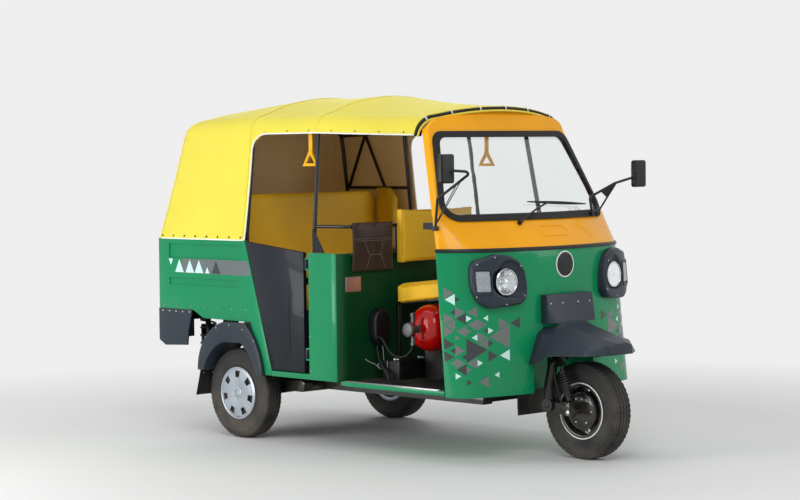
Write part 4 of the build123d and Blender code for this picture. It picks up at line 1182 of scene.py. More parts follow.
def oblong(half_x, half_z, power, count, start=0.0):
    """Points round an oblong with rounded corners, from its middle."""
    ring = []
    for k in range(count):
        a = 2 * math.pi * (k + start) / count
        ring.append((half_x * math.copysign(abs(math.cos(a)) ** power, math.cos(a)),
                     half_z * math.copysign(abs(math.sin(a)) ** power, math.sin(a))))
    return ring


def rounded_outward(tree, x, z):
    """Place on the shell and a normal averaged over its neighbourhood."""
    place, _ = on_front(tree, x, z)
    total = Vector((0, 0, 0))
    for dx in (-24, 0, 24):
        for dz in (-16, 16):
            total += on_front(tree, x + dx, z + dz)[1]
    return place, total.normalized()


def make_housings():
    """Moulded lamp housings: rounded rim, bowl round the lamp, raised frame round the indicator."""
    reaches = [reach(2 * math.pi * k / HOUSING_TURNS) for k in range(HOUSING_TURNS)]
    for _ in range(3):
        reaches = [(reaches[k - 1] + 2 * reaches[k] + reaches[(k + 1) % HOUSING_TURNS]) / 4
                   for k in range(HOUSING_TURNS)]
    build = Build()
    for side in (-1, 1):
        rows = []
        for k in range(HOUSING_TURNS):
            a = 2 * math.pi * k / HOUSING_TURNS
            outer = reaches[k]
            # the bowl opens towards the middle of the vehicle and a little downwards
            open_way = smooth_step(0.25 - 0.95 * math.cos(a + 0.35))
            rim = BOWL_R + 6 + max(0.0, outer - 26 - BOWL_R) * open_way
            line = [(outer + 1, -3), (outer, 0), (outer - 1, 20), (outer - 2.5, 33), (outer - 6, 41),
                    (outer - 11, 45)]
            line += [(outer - 11 + (rim + 17 - outer) * i / 5, 46) for i in range(1, 5)]
            line += [(rim + 6, 46), (rim + 2, 45.2), (rim - 1, 42.5), (rim - 3, 38)]
            for i in range(1, 7):
                t = i / 6
                line.append((rim - 3 + (BOWL_R - 4 - rim) * t, 25 + 13 * (1 - t) ** 1.7))
            line += [(BOWL_R - 9, 14), (BOWL_R - 34, 7)]
            row = []
            for r, height in line:
                spot, out = rounded_outward(shell_tree, side * (LAMP_X + r * math.cos(a)),
                                            LAMP_Z + r * math.sin(a))
                row.append(spot + out * height * MM)
            rows.append(row)
        rows.append(rows[0])
        build.grid(rows)
        rows = []
        for grow, height in ((1.16, 44.0), (1.12, 49.0), (1.06, 51.0), (0.96, 50.4), (0.93, 44.0)):
            row = []
            for x, z in oblong(35, 62, 0.22, 64, 0.5):
                spot, out = rounded_outward(shell_tree, side * (INDICATOR_X + x * grow),
                                            INDICATOR_Z + z * grow)
                row.append(spot + out * height * MM)
            rows.append(row)
        build.grid(rows, wrap=True)
    shells = build.done("lamp_housing_mouldings", "grey", BODY, 50, "grey_plastic", merge=1e-5)
    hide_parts("headlamp_housings")


make_housings()


def make_headlamp(side, word):
    """Round lamp: faceted reflector, bulb, bezel and domed glass; ribbed indicator beside it."""
    place, normal = on_front(shell_tree, side * LAMP_X, LAMP_Z)
    normal = Vector((normal.x * 0.55, normal.y, normal.z * 0.5)).normalized()
    cross = normal.cross(Vector((0, 0, 1))).normalized()
    up = cross.cross(normal)
    metal_parts = Build()
    rows = []
    for i in range(9):
        r = 8 + 56 * i / 8
        depth = 15 + 20 * (r / 64) ** 2
        row = []
        for k in range(96):
            a = 2 * math.pi * k / 96
            flute = 1.4 * abs(math.sin(a * 8)) * (r / 64)
            away = cross * math.cos(a) + up * math.sin(a)
            row.append(place + normal * (depth - flute - 0.9 * (i % 2)) * MM + away * r * MM)
        rows.append(row)
    metal_parts.grid(rows, wrap=True)
    metal_parts.lathe([(13, 9), (22, 9), (28, 13), (32, 12), (34.5, 7), (35, 1)], place, normal, 24)
    metal_parts.lathe([(33, 62.5), (37.5, 63), (39, 65.5), (37, 68.3), (30, 68.8), (29, 64)],
                      place, normal, 72, closed=True)
    shown = metal_parts.done(f"headlamp_reflector_{word}", "chrome", BODY, 25, "lamp_glass")
    dome = Build()
    profile = [(34, 63)] + [(35 + 7.5 * math.cos(math.pi / 2 * i / 8), 62.5 * math.sin(math.pi / 2 * i / 8))
                            for i in range(8, 0, -1)] + [(42.5, 0.5)]
    back = [(a - 1.8, r) for a, r in profile[::-1]]
    dome.lathe(profile + back, place, normal, 72)
    dome.done(f"headlamp_glass_{word}", "lens", BODY, 40, "lamp_glass")

    # Indicator: a ribbed pale front over an amber back
    rows, back_rows = [], []
    columns = 44
    for j in range(13):
        z = INDICATOR_Z - 56 + 112 * j / 12
        row, back_row = [], []
        for i in range(columns + 1):
            x = INDICATOR_X - 30 + 60 * i / columns
            spot, out = on_front(shell_tree, side * x, z)
            edge = min(1.0, i / 2, (columns - i) / 2, j, 12 - j)
            rib = 0.8 * abs(math.sin(math.pi * i / 4))
            row.append(spot + out * (41 + 6.6 * edge + rib) * MM)
            back_row.append(spot + out * 39 * MM)
        rows.append(row)
        back_rows.append(back_row)
    front = Build()
    front.grid(rows)
    lens = front.done(f"indicator_lens_{word}", "white_lens", BODY, 30, "lamp_glass")
    thicken(lens, 0.0015)
    bowl = Build()
    bowl.grid(back_rows)
    bowl.done(f"indicator_back_{word}", "amber_solid", BODY, 30, "lamp_glass")
    return shown


for lamp_side, lamp_word in SIDES:
    reflector = make_headlamp(lamp_side, lamp_word)
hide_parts("headlamps")


TAIL_RIBS = 9


def make_tail_lamps():
    """Lens ribs over each tail lamp, the upper third of them amber, and its screws."""
    low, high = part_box("tail_lamps")
    inner = min(abs(v.co.x) for v in nodes["tail_lamps"].data.vertices)
    outer = high.x
    back = high.y
    pitch = (high.z - low.z - 0.016) / TAIL_RIBS
    build = Build()
    for side in (-1, 1):
        for i in range(TAIL_RIBS):
            z0 = low.z + 0.008 + pitch * i
            rows = []
            for share, lift in ((0, 0), (0.21, 0.0022), (0.49, 0.0022), (0.7, 0)):
                z = z0 + pitch * share
                rows.append([Vector((side * (inner + 0.006), back + lift * 0.3, z)),
                             Vector((side * (inner + 0.009), back + lift, z)),
                             Vector((side * (outer - 0.009), back + lift, z)),
                             Vector((side * (outer - 0.006), back + lift * 0.3, z))])
            build.grid(rows, slot=1 if i >= 6 else 0)
        for z in (low.z + 0.004, high.z - 0.004):
            build.screw(Vector((side * (inner + outer) / 2, back, z)), (0, 1, 0), 3.2, 1.5, 2)
    build.done("tail_lamp_ribs", ["red_lens", "amber_solid", "steel"], BODY, 40, "red_lens")


make_tail_lamps()


# ---------------------------------------------------------------- front details
def make_front_details():
    """Plain round badge, blank recess in the band and small fixings on the front."""
    place, normal = on_front(shell_tree, 0, 997)
    badge = Build()
    badge.lathe([(0.2, 69), (3.4, 68.4), (4.6, 66), (4.6, 63.4), (3.8, 62.4), (3.6, 55)],
                place, normal, 72)
    badge.lathe([(3.6, 62.3), (4.4, 60), (5.4, 40), (6.0, 20), (6.2, 1)], place, normal, 72, 1)
    badge.done("front_badge", ["piping", "black_plastic"], BODY, 30, "trim_black")

    # Blank pressed recess in the orange band
    ring = []
    for grow, lift in ((1.16, 0.2), (1.08, 4.6), (1.0, 4.8), (0.93, 0.4)):
        row = []
        for x, z in oblong(96, 24, 0.32, 48):
            spot, out = on_front(band_tree, x * grow, 1168 + z * grow)
            row.append(spot + out * lift * MM)
        ring.append(row)
    press = Build()
    press.grid(ring, wrap=True)
    press.done("band_pressing", "orange", BODY, 30, "orange_paint")

    fixings = Build()
    guard_tree = surface_of("front_mudguard")
    for side in (-1, 1):
        for x, z in ((548, 1012), (470, 1046), (330, 1000), (312, 850), (420, 808), (560, 850)):
            spot, out = on_front(shell_tree, side * x, z)
            fixings.screw(spot + out * 45.4 * MM, out, 4.2, 2)
        for z in (1110, 1140, 1170):
            spot, out = on_front(band_tree, side * 600, z)
            fixings.screw(spot, out, 3.8, 2)
    for side in (-1, 1):
        for x in (150, 60):
            spot, out = on_front(guard_tree, side * x, 800)
            fixings.screw(spot, out, 6, 3)
    fixings.done("front_screws", "steel", BODY, 35)


make_front_details()


LATTICE = 64.0              # upright edge of a cell of the decals' triangle lattice
LATTICE_U = 12              # where the lattice starts across the view
LATTICE_Z = 424             # and upwards
# Large triangles over four cells. columns: column, half row, way, tone
large_cells = [(2, 5, 1, "decal_dark"), (4, 7, -1, "decal_grey")]


DECAL_LOOK = Vector((0.70, 0.714, 0)).normalized()      # the triangles are equal-sided seen this way
TRIANGLE_HEIGHT = 0.866     # of one with sides of 1


def make_decals():
    """Scattered triangles beside the front door openings, laid on the curved shell."""
    rng = random.Random(23)
    builds = {"decal_dark": Build(), "decal_grey": Build(), "decal_mint": Build()}
    width = LATTICE * TRIANGLE_HEIGHT
    taken = set()
    jobs = []
    for col, row, way, tone in large_cells:
        near, far = (col, col + 1) if way > 0 else (col + 1, col)
        taken |= {(near, row - 1), (near, row), (near, row + 1), (far, row)}
        edge = col if way > 0 else col + 2
        jobs.append((LATTICE_U + edge * width, LATTICE_Z + row * LATTICE / 2, LATTICE * 1.9, way, tone))
    for col in range(7):
        for row in range(15):
            keep = 0.92 - 0.10 * col - 0.05 * abs(row - 7)
            if rng.random() > keep or (col, row) in taken or (col > 2 and row > 10):
                continue
            way = 1 if (col + row) % 2 == 0 else -1
            size = LATTICE * rng.choice((0.9, 0.9, 0.9, 0.5, 0.45))
            tone = rng.choices(list(builds), (4, 4, 8 if size < 40 else 2))[0]
            edge = LATTICE_U + (col if way > 0 else col + 1) * width
            jobs.append((edge, LATTICE_Z + row * LATTICE / 2, size, way, tone))
    for side in (-1, 1):
        for u, z, size, way, tone in jobs:
            add_triangle(builds[tone], side, u, z, size, way)
    for tone, build in builds.items():
        build.done(f"{tone}_triangles", tone, BODY, 60, "green_paint")


def add_triangle(build, side, u, z, size, point):
    """Triangle with one upright edge, cast onto the shell along the viewing line."""
    steps = max(3, int(size / 14))
    start = at(-684, 372, 0)
    across = Vector((DECAL_LOOK.y, -DECAL_LOOK.x, 0))
    aim = Vector((-side * DECAL_LOOK.x, DECAL_LOOK.y, 0))
    grid = {}
    for i in range(steps + 1):
        for j in range(steps + 1 - i):
            a, b = i / steps, j / steps
            near = across * (u + point * size * TRIANGLE_HEIGHT * b) * MM
            near += Vector((0, 0, (z + size * (a + b / 2 - 0.5)) * MM))
            near += start - DECAL_LOOK * 0.6
            if side > 0:
                near.x = -near.x
            spot, normal, _, distance = shell_tree.ray_cast(near, aim)
            if spot is None or distance > 1.0:
                return
            if normal.dot(aim) > 0:
                normal = -normal
            grid[i, j] = spot + normal * 0.7 * MM
    keys = list(grid)
    index = {k: n for n, k in enumerate(keys)}
    faces = []
    for i in range(steps):
        for j in range(steps - i):
            faces.append([index[i, j], index[i + 1, j], index[i, j + 1]])
            if (i + 1, j + 1) in index:
                faces.append([index[i + 1, j], index[i + 1, j + 1], index[i, j + 1]])
    build.add([grid[k] for k in keys], faces)


make_decals()


# ---------------------------------------------------------------- sides
def make_side_strips():
    """Grey band with small triangles on the load box's sides."""
    rng = random.Random(11)
    builds = [Build() for _ in range(4)]
    z0, z1 = 910, 991
    tree = surface_of("side_panels")
    for side in (-1, 1):
        start = at(side * 900, 2200, (z0 + z1) / 2)
        x = tree.ray_cast(start, Vector((-side, 0, 0)))[0].x / MM + side * 0.5
        builds[0].add([at(x, 2440, z0), at(x, 2440, z1), at(x, 1868, z1), at(x, 1843, z0)], [[0, 1, 2, 3]])
        y = 2560
        while y > 2120:
            size = rng.choice((74, 74, 52, 36))
            up = rng.choice((1, -1))
            base = z0 + 3 if up > 0 else z1 - 3
            tone = rng.choices((1, 2, 3), (2, 1, 6))[0]
            x2 = x + side * 0.5
            width = size * 1.05
            tip = at(x2, y - width / 2, base + up * size)
            builds[tone].add([at(x2, y, base), at(x2, y - width, base), tip], [[0, 1, 2]])
            y -= width * rng.choice((1.05, 1.2, 1.5))
    for build, tone in zip(builds, ("decal_band", "decal_dark", "decal_grey", "decal_mint")):
        build.done(f"side_{tone}", tone, BODY, 30, "green_paint")


make_side_strips()


DOOR_RIB_Y = 1530
# Screws of a door. columns: y, z
door_screws = [(1425, 1030), (1425, 430), (1425, 730), (1660, 450), (1700, 600), (1840, 1075), (1760, 820)]


def make_fixings():
    """Screws along the guards, arches and doors; door ribs and handles; gussets of the poles."""
    body_screws = Build()
    trees = {name: surface_of(name) for name in ("rear_guards", "wheel_arches", "side_panels",
                                                 "partition", "door_right", "door_left")}

    def side_screw(build, node, side, y, z, r=5.5):
        spot, _, _, _ = trees[node].ray_cast(at(side * 950, y, z), Vector((-side, 0, 0)))
        if spot is not None:
            build.screw(spot, (side, 0, 0), r, 2.6)

    for side in (-1, 1):
        for y in (2380, 2440, 2500, 2560, 2620):
            side_screw(body_screws, "rear_guards", side, y, 688)
        for k in range(7):
            a = math.pi * (0.12 + 0.76 * k / 6)
            y, z = REAR_Y + 292 * math.cos(a), 372 + 262 * math.sin(a)
            side_screw(body_screws, "wheel_arches", side, y, z, 4.5)
        for y in (1890, 2010, 2130, 2250, 2370, 2490, 2610):
            side_screw(body_screws, "side_panels", side, y, 720, 4)
        for z in (420, 600, 800, 1000):
            side_screw(body_screws, "partition", side, 1362, z, 4)
    body_screws.done("side_screws", "steel", BODY, 35)
    for side, word in SIDES:
        screws = Build()
        for y, z in door_screws:
            side_screw(screws, f"door_{word}", side, y, z, 4.8)
        screws.done(f"door_screws_{word}", "black_plastic", f"door_{word}", 35)
        start = at(side * 950, DOOR_RIB_Y, 700)
        x = trees[f"door_{word}"].ray_cast(start, Vector((-side, 0, 0)))[0].x / MM
        rib = Build()
        rows = []
        for z, height in ((505, 0.8), (512, 4), (700, 4), (893, 4), (900, 0.8)):
            rows.append([at(x + side * out, DOOR_RIB_Y + dy, z)
                         for out, dy in ((-0.2, -7), (height, -3), (height, 3), (-0.2, 7))])
        rib.grid(rows)
        rib.done(f"door_rib_{word}", "dark_panel", f"door_{word}", 40, "dark_panel")
        # Pull handle on the inside
        path = [at(x - side * depth, y, 960)
                for depth, y in ((30, 1700), (56, 1706), (56, 1780), (30, 1786))]
        tube(f"door_handle_{word}", path, 0.006, "black_paint", f"door_{word}")
        # Dark gusset plate at the foot of the centre pole
        plate = Build()
        gx = side * 662
        back_x = gx - side * 3
        for x2 in (gx, back_x):
            plate.add([at(x2, 1352, 1052), at(x2, 1262, 1052), at(x2, 1346, 1178), at(x2, 1356, 1178)],
                      [[0, 1, 2, 3]])
        plate.add([at(gx, 1262, 1052), at(gx, 1346, 1178), at(back_x, 1346, 1178), at(back_x, 1262, 1052)],
                  [[0, 1, 2, 3]])
        plate.done(f"pole_gusset_{word}", "dark_panel", BODY, 30, "dark_panel")


make_fixings()


# ---------------------------------------------------------------- mirrors, wiper, suspension
def make_mirror_parts():
    """Mirror glasses, arm braces, the left bracket's plate and the clamps."""
    glass = Build()
    for x, y, z in ((-748, 269, 1498), (748, 269, 1452)):
        rows = []
        for grow, back in ((1.0, 17.5), (1.0, 19.6), (0.95, 20.0), (0.5, 20.2), (0.02, 20.3)):
            rows.append([(x + dx * grow, y + back, z + dz * grow) for dx, dz in oblong(39, 64, 0.4, 40)])
        glass.mm_grid(rows, wrap=True)
    glass.done("mirror_glasses", "mirror", BODY, 30, "trim_black")
    braces = [((-669, 420, 1222), (-667.5, 270, 1424)), ((-663, 419, 1222), (-666, 240, 1443))]
    for i, (foot, head) in enumerate(braces):
        tube(f"mirror_brace_{i}", [at(*foot), at(*head)], 0.0026, "black_paint", BODY, curved=False)
    plate = Build()
    outline = [(505, 331, 1361), (590, 306, 1402), (600, 303, 1404), (560, 332, 1324)]
    for shift in (0, 3):
        plate.add([at(x, y + shift, z) for x, y, z in outline], [[0, 1, 2, 3]])
    plate.done("mirror_bracket_plate", "black_plastic", BODY, 30, "trim_black")
    clamps = Build()
    for side, z in ((-1, 1490), (1, 1441)):
        clamps.lathe([(-16, 10), (-14, 12), (14, 12), (16, 10)], at(side * 738, 262, z),
                     (1, side * 0.1, side * 0.1), 20)
    clamps.done("mirror_clamps", "black_plastic", BODY, 35, "trim_black")


make_mirror_parts()


def make_wiper_blade():
    """Rubber blade under the wiper's carrier."""
    build = Build()
    rows = []
    for i in range(17):
        t = i / 16
        x = -86 + 486 * t
        y = 327 - 3 * t if t < 0.5 else 325.5 + 51 * (t - 0.5)
        z = 1318.6 - 23 * t
        deep = 3 + 5.5 * math.sin(math.pi * t)
        rows.append([at(x, y + dy, z + dz)
                     for dy, dz in ((-4, -deep), (-4, deep), (3.5, 2.5), (3.5, -2.5))])
    build.grid(rows, wrap=True, caps=True)
    build.done("wiper_blade", "rubber", BODY, 35, "trim_black")


make_wiper_blade()


COIL_STEPS = 16             # points in one turn of a coil


def helix(start, end, radius, turns):
    """Points of a coil between two places."""
    axis = (end - start).normalized()
    side = axis.orthogonal().normalized()
    up = axis.cross(side)
    points = []
    total = int(turns * COIL_STEPS)
    for i in range(total + 1):
        a = 2 * math.pi * i / COIL_STEPS
        away = side * math.cos(a) + up * math.sin(a)
        points.append(start + (end - start) * (i / total) + away * radius)
    return points


def make_suspension():
    """Front coil spring with its damper, and the rear coils."""
    top = at(-118, 68, 476)
    foot = at(-118, 20, 304.6)
    way = (top - foot).normalized()
    length = (top - foot).length / MM
    damper = Build()
    damper.lathe([(2, 13), (26, 13), (28, 26), (32, 26), (33, 17.5), (95, 17.5), (97, 8), (length - 30, 8),
                  (length - 28, 26), (length - 24, 26), (length - 22, 12), (length - 1, 12)], foot, way, 28)
    body_piece = damper.done("front_damper", "black_paint", STEERING, 35, "black_frame")
    coil = helix(foot + way * 0.036, top - way * 0.031, 0.0225, 8.5)
    tube("front_coil", coil, 0.0043, "black_paint", STEERING, curved=False)
    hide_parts("front_spring")
    for side, word in SIDES:
        low, high = at(side * 470, 2470, 350), at(side * 470, 2470, 660)
        tube(f"rear_coil_{word}", helix(low, high, 0.0435, 7), 0.006, "black_paint", BODY, curved=False)


make_suspension()


def laid_cord(name, node, route, radius, material, body):
    """Cord along its route's points, in place of its plain tube."""
    data, _ = curve_of(name, [at(*place) for place in route], radius, material, True, 4, 8)
    piece = in_scene(name, data, body)
    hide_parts(node)


gas_route = [(-460, 800, 619.7), (-460, 800, 585), (-464, 808, 546), (-474, 834, 516), (-480, 872, 504),
             (-479, 912, 506), (-475, 950, 518), (-469, 986, 540), (-464, 1012, 570), (-460, 1040, 600),
             (-460, 1069.7, 600)]
filler_route = [(-436, 1098, 553.5), (-436, 1098, 526), (-438, 1090, 500), (-445, 1074, 476),
                (-454, 1052, 456), (-462, 1028, 438), (-469, 1002, 420), (-474, 976, 400),
                (-474, 976, 372.4)]
lead_route = [(-405, 1090, 555.7), (-405, 1090, 537), (-405, 1084, 518), (-409, 1082, 502),
              (-407, 1080, 486), (-410, 1078, 471), (-405, 1077, 457), (-406, 1076, 443),
              (-414, 1076, 431), (-427, 1076, 425), (-441, 1077, 428), (-451, 1078, 437),
              (-453, 1078, 449), (-446, 1078, 459), (-434, 1077, 462), (-423, 1075, 457),
              (-418, 1072, 446), (-421, 1068, 434), (-432, 1065, 428), (-446, 1064, 432),
              (-461, 1064, 441), (-476, 1065, 452), (-492, 1067, 461), (-509, 1070, 467),
              (-527, 1074, 476), (-544, 1078, 488)]
brake_route = [(-127.3, 84, 503), (-144, 84, 503), (-160, 82, 494), (-171, 77, 474), (-177, 70, 446),
               (-180, 61, 416), (-180, 52, 386), (-178, 43, 356), (-174, 36, 328), (-170, 31, 304),
               (-162, 30, 287), (-148.3, 30, 287)]
laid_cord("gas_hose_line", "gas_hose", gas_route, 0.0065, "rubber", BODY)
laid_cord("filler_hose_line", "filler_hose", filler_route, 0.0075, "rubber", BODY)
laid_cord("loose_lead_line", "loose_lead", lead_route, 0.0018, "lead", BODY)
laid_cord("brake_cable_line", "brake_cable", brake_route, 0.0032, "rubber", STEERING)


# ---------------------------------------------------------------- inside the cab
def rounded_pad(name, outline, place, depth, crown):
    """Closed pad from an outline in the x-z plane, rounded towards its front at -y."""
    cx = sum(p[0] for p in outline) / len(outline)
    cz = sum(p[1] for p in outline) / len(outline)
    build = Build()
    rows = [[(x, place, z) for x, z in outline]]
    for i in range(7):
        a = math.pi / 2 * i / 6
        shrink = 1 - crown * (1 - math.cos(a))
        y = place - depth + crown * depth * (1 - math.sin(a))
        rows.append([(cx + (x - cx) * shrink, y, cz + (z - cz) * shrink) for x, z in outline])
    build.mm_grid(rows, wrap=True, caps=True)
    return build.done(name, "black_plastic", BODY, 40, "grey_plastic")


def stadium(x0, x1, z0, z1):
    """Upright outline with round ends."""
    r = (x1 - x0) / 2
    mid = (x0 + x1) / 2
    arc = [(r * math.cos(math.pi * k / 10), r * math.sin(math.pi * k / 10)) for k in range(11)]
    return [(mid + x, z1 - r + z) for x, z in arc] + [(mid - x, z0 + r - z) for x, z in arc]


PARTITION_Y = 1130          # front face of the partition
MAT_PITCH = 21.2


def make_cab():
    """Pipe cover, floor mat, sill strips, cylinder fittings, pedals, dials, blank label and boot."""
    cover = rounded_pad("pipe_cover_shell", stadium(-470, -350, 552, 748), PARTITION_Y - 0.4, 58, 0.22)
    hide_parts("pipe_cover")

    mat = Build()
    for i in range(30):
        y = 474 + MAT_PITCH * i
        mat.box(at(-600, y, 372.2), at(600, y + MAT_PITCH, 374.6))
        mat.box(at(-590, y + 6, 374.6), at(590, y + 14, 377.0))
    mat.done("cab_floor_mat", "mat", BODY, 30, "black_rubber", bevel=0.0008)
    scuff = Build()
    for side in (-1, 1):
        for i in range(5):
            ends = sorted((side * (634 + 7 * i), side * (639.5 + 7 * i)))
            scuff.box(at(ends[0], 424, 375.0), at(ends[1], 1118, 378.6 if i % 2 else 377.2))
    scuff.done("sill_strips", "steel", BODY, 30, bevel=0.0005)

    straps = Build()
    for x in (-242, 242):
        ring = [(x - 20, 125.6), (x - 20, 128.6), (x + 20, 128.6), (x + 20, 125.6)]
        straps.lathe(ring, at(0, 800, 654), (1, 0, 0), 64, 0, closed=True)
    straps.done("cylinder_straps", "black_paint", BODY, 35, "black_frame")
    valve = Build()
    valve.lathe([(0, 22), (10, 22), (12, 19), (26, 19), (28, 24), (34, 24), (36, 20)],
                at(-420, 800, 654), (-1, 0, 0), 6)
    valve.lathe([(0, 12), (30, 12), (32, 15), (50, 15), (52, 9)], at(-462, 800, 690), (0, 0, 1), 8)
    valve.lathe([(0, 11), (28, 11), (30, 14), (46, 14)], at(-462, 800, 618), (0, 0, -1), 6)
    valve.lathe([(0, 36), (4, 38), (14, 38), (18, 34)], at(-482, 800, 654), (-1, 0, 0), 36)
    for k in range(3):
        a = 2 * math.pi * k / 3
        spot = at(-494, 800, 654) + Vector((0, math.cos(a), math.sin(a))) * 0.024
        valve.lathe([(0, 6), (8, 6), (9, 4)], spot, (-1, 0, 0), 12)
    cap_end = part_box("gas_cylinder")[0].x
    valve.lathe([(-14, 36), (1, 36), (4, 31), (6, 12)],
                Vector((cap_end, at(0, 800, 0).y, at(0, 0, 654).z)), (-1, 0, 0), 36)
    valve.done("cylinder_valve", "casting", BODY, 30, "cast_metal")

    pedals = Build()
    for x, z in ((-190, 430), (-90, 440)):
        pedals.mm_grid([[(x - 32, 470, z), (x + 32, 470, z)],
                        [(x - 34, 452, z + 60), (x + 34, 452, z + 60)]])
        pedals.lathe([(0, 8), (130, 8)], at(x, 470, z + 40), (0, -0.7, -0.7), 12)
    thicken(pedals.done("pedals", "rubber", BODY, 30, "black_rubber"), 0.008)

    # Dials in a pod at the back of the dash shelf, with plain marked faces
    pod = Build()
    pod.box(at(-120, 452, 1222.4), at(120, 512, 1247))
    pod.done("dial_pod", "dash", BODY, 30, "grey_plastic", bevel=0.008)
    dials = Build()
    for x in (-62, 62):
        dials.lathe([(0, 10.4), (2, 10.4), (2.4, 9)], at(x, 512, 1234.6), (0, 1, 0), 24, 0)
        for k in range(7):
            a = math.pi * (1.25 - 1.5 * k / 6)
            mark = at(x, 514.8, 1234.6) + Vector((math.cos(a), 0, math.sin(a))) * 0.007
            dials.lathe([(0, 0.7), (0.6, 0.6)], mark, (0, 1, 0), 6, 1)
    dials.done("dials", ["black_plastic", "piping"], BODY, 30, "trim_black")

    labels = Build()
    labels.box(at(-634, PARTITION_Y - 2.8, 846), at(-524, PARTITION_Y - 0.6, 925))
    for x in (-627, -531):
        for z in (853, 918):
            labels.screw(at(x, PARTITION_Y - 2.8, z), (0, -1, 0), 3, 1.5)
    labels.done("blank_label", "label", BODY, 30, bevel=0.001)
    boots = Build()
    boots.lathe([(0, 48), (10, 46), (16, 38), (24, 40), (30, 32), (38, 34), (46, 26)],
                at(0, 290, 1012), (0, -0.1, 1), 32)
    boots.done("column_boot", "rubber", BODY, 40, "black_rubber")


make_cab()


def make_battery():
    """Lid, vent caps, posts with their clamps and the hold-down bar of the battery."""
    build = Build()
    for x in (-432, -186):
        build.box(at(x, 934, 452), at(x + 0.8, 1058, 474))
    build.box(at(-436, 929.2, 455), at(-182, 930.6, 459))
    build.box(at(-436, 929.2, 390), at(-182, 930.6, 393))
    for i in range(9):
        x = -424 + 28 * i
        build.box(at(x, 928.4, 396), at(x + 9, 930.4, 450))
    for i in range(6):
        build.lathe([(0, 13), (4, 12.5), (6, 10), (6.5, 2)], at(-370 + 32 * i, 1030, 476), (0, 0, 1), 20)
    build.done("battery_lid", "black_plastic", BODY, 30, "trim_black", bevel=0.001)
    clamps = Build()
    for x in (-400, -220):
        spot = at(x, 996, 477)
        clamps.lathe([(0, 15.5), (9, 15.5), (10, 13.5)], spot, (0, 0, 1), 28)
        clamps.box(spot + Vector((-0.006, -0.028, 0)), spot + Vector((0.006, -0.012, 0.008)))
        clamps.lathe([(-12, 3.2), (12, 3.2)], spot + Vector((0, -0.022, 0.004)), (1, 0, 0), 12)
    clamps.done("battery_clamps", "steel", BODY, 35, bevel=0.0006)
    bar = Build()
    bar.box(at(-446, 1010, 476.4), at(-172, 1024, 480))
    for x in (-446, -176):
        bar.box(at(x, 1010, 374), at(x + 4, 1024, 480))
    bar.done("battery_strap", "black_paint", BODY, 30, "black_frame", bevel=0.0008)


make_battery()


# ---------------------------------------------------------------- rear and underneath
def make_rear():
    """Blank number plate, hatch lock and pressings, reflectors, and the front wheel's flap."""
    face = at(0, 2651, 0).y          # outer face of the hatch
    plate = Build()
    plate.box((-0.17, face + 0.0004, 0.80), (0.17, face + 0.0026, 0.92))
    plate.done("number_plate", "plate", "rear_hatch", 30, bevel=0.0015)
    bits = Build()
    for x in (-0.14, 0.14):
        bits.lathe([(0, 8), (0.8, 8), (1, 6.2), (5, 6)], (x, face + 0.0026, 0.86), (0, 1, 0), 6)
    bits.lathe([(0, 17), (3, 16), (4, 11), (10, 10), (11, 7)], (0, face, 0.985), (0, 1, 0), 24)
    for x in (-0.46, 0.46):
        for z in (0.775, 1.02):
            bits.screw((x, face, z), (0, 1, 0), 6, 3)
    bits.done("hatch_fixings", "steel", "rear_hatch", 35)
    border = Build()
    for x0, x1, z0, z1 in ((-0.165, 0.165, 0.804, 0.806), (-0.165, 0.165, 0.914, 0.916),
                           (-0.165, -0.163, 0.806, 0.914), (0.163, 0.165, 0.806, 0.914)):
        border.box((x0, face + 0.0026, z0), (x1, face + 0.0032, z1))
    border.done("number_plate_border", "black_plastic", "rear_hatch", 30)
    rib = Build()
    for z in (0.765, 1.035):
        rows = []
        for i in range(21):
            x = -0.49 + 0.98 * i / 20
            rows.append([(x, face + out, z + dz)
                         for out, dz in ((0, -0.006), (0.0028, -0.002), (0.0028, 0.002), (0, 0.006))])
        rib.grid(rows)
    rib.done("hatch_pressings", "green_side", "rear_hatch", 40, "green_paint")

    guards = surface_of("rear_guards")
    marks = Build()
    for side in (-1, 1):
        y = guards.ray_cast(at(side * 560, 3000, 610), Vector((0, -1, 0)))[0].y
        x = side * 0.56
        marks.box((x - 0.04, y, 0.59), (x + 0.04, y + 0.005, 0.625))
        for dx in (-0.05, 0.05):
            marks.screw((x + dx, y, 0.607), (0, 1, 0), 4, 2, 1)
    for side in (-1, 1):
        for x in (535, 600, 665):
            marks.screw(at(side * x, 2279, 350), (0, -1, 0.25), 5, 2.5, 1)
    marks.done("rear_reflectors", ["red_lens", "steel"], BODY, 30, "red_lens", bevel=0.002)

    flap = Build()
    rows = []
    for i in range(9):
        t = i / 8
        bow = 6 * math.sin(math.pi * i / 9) + 5 * t ** 2
        half = 168 - 8 * t
        rows.append([at(half * (j / 6 - 1), 332 + bow + 2.0 * math.sin(j * 1.7), 352 - 142 * t)
                     for j in range(13)])
    flap.grid(rows)
    thicken(flap.done("front_mud_flap", "rubber", BODY, 50, "black_rubber"), 0.004)


make_rear()


ENGINE_FINS = 13


def make_engine():
    """Fins and a sump over the plain block of the engine."""
    low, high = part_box("engine_block")
    build = Build()
    for i in range(ENGINE_FINS):
        z = low.z + 0.16 + (high.z - low.z - 0.18) * i / (ENGINE_FINS - 1)
        build.box((low.x + 0.04, high.y - 0.001, z), (high.x - 0.04, high.y + 0.014, z + 0.006))
    build.lathe([(0, 95), (12, 90), (20, 70), (24, 30)], (0, high.y, low.z + 0.09), (0, 1, 0), 40)
    build.lathe([(0, 120), (10, 115), (16, 90), (18, 20)], (low.x, (low.y + high.y) / 2, low.z + 0.19),
                (-1, 0, 0), 40)
    build.done("engine_casing", "casting", BODY, 35, "cast_metal")


make_engine()


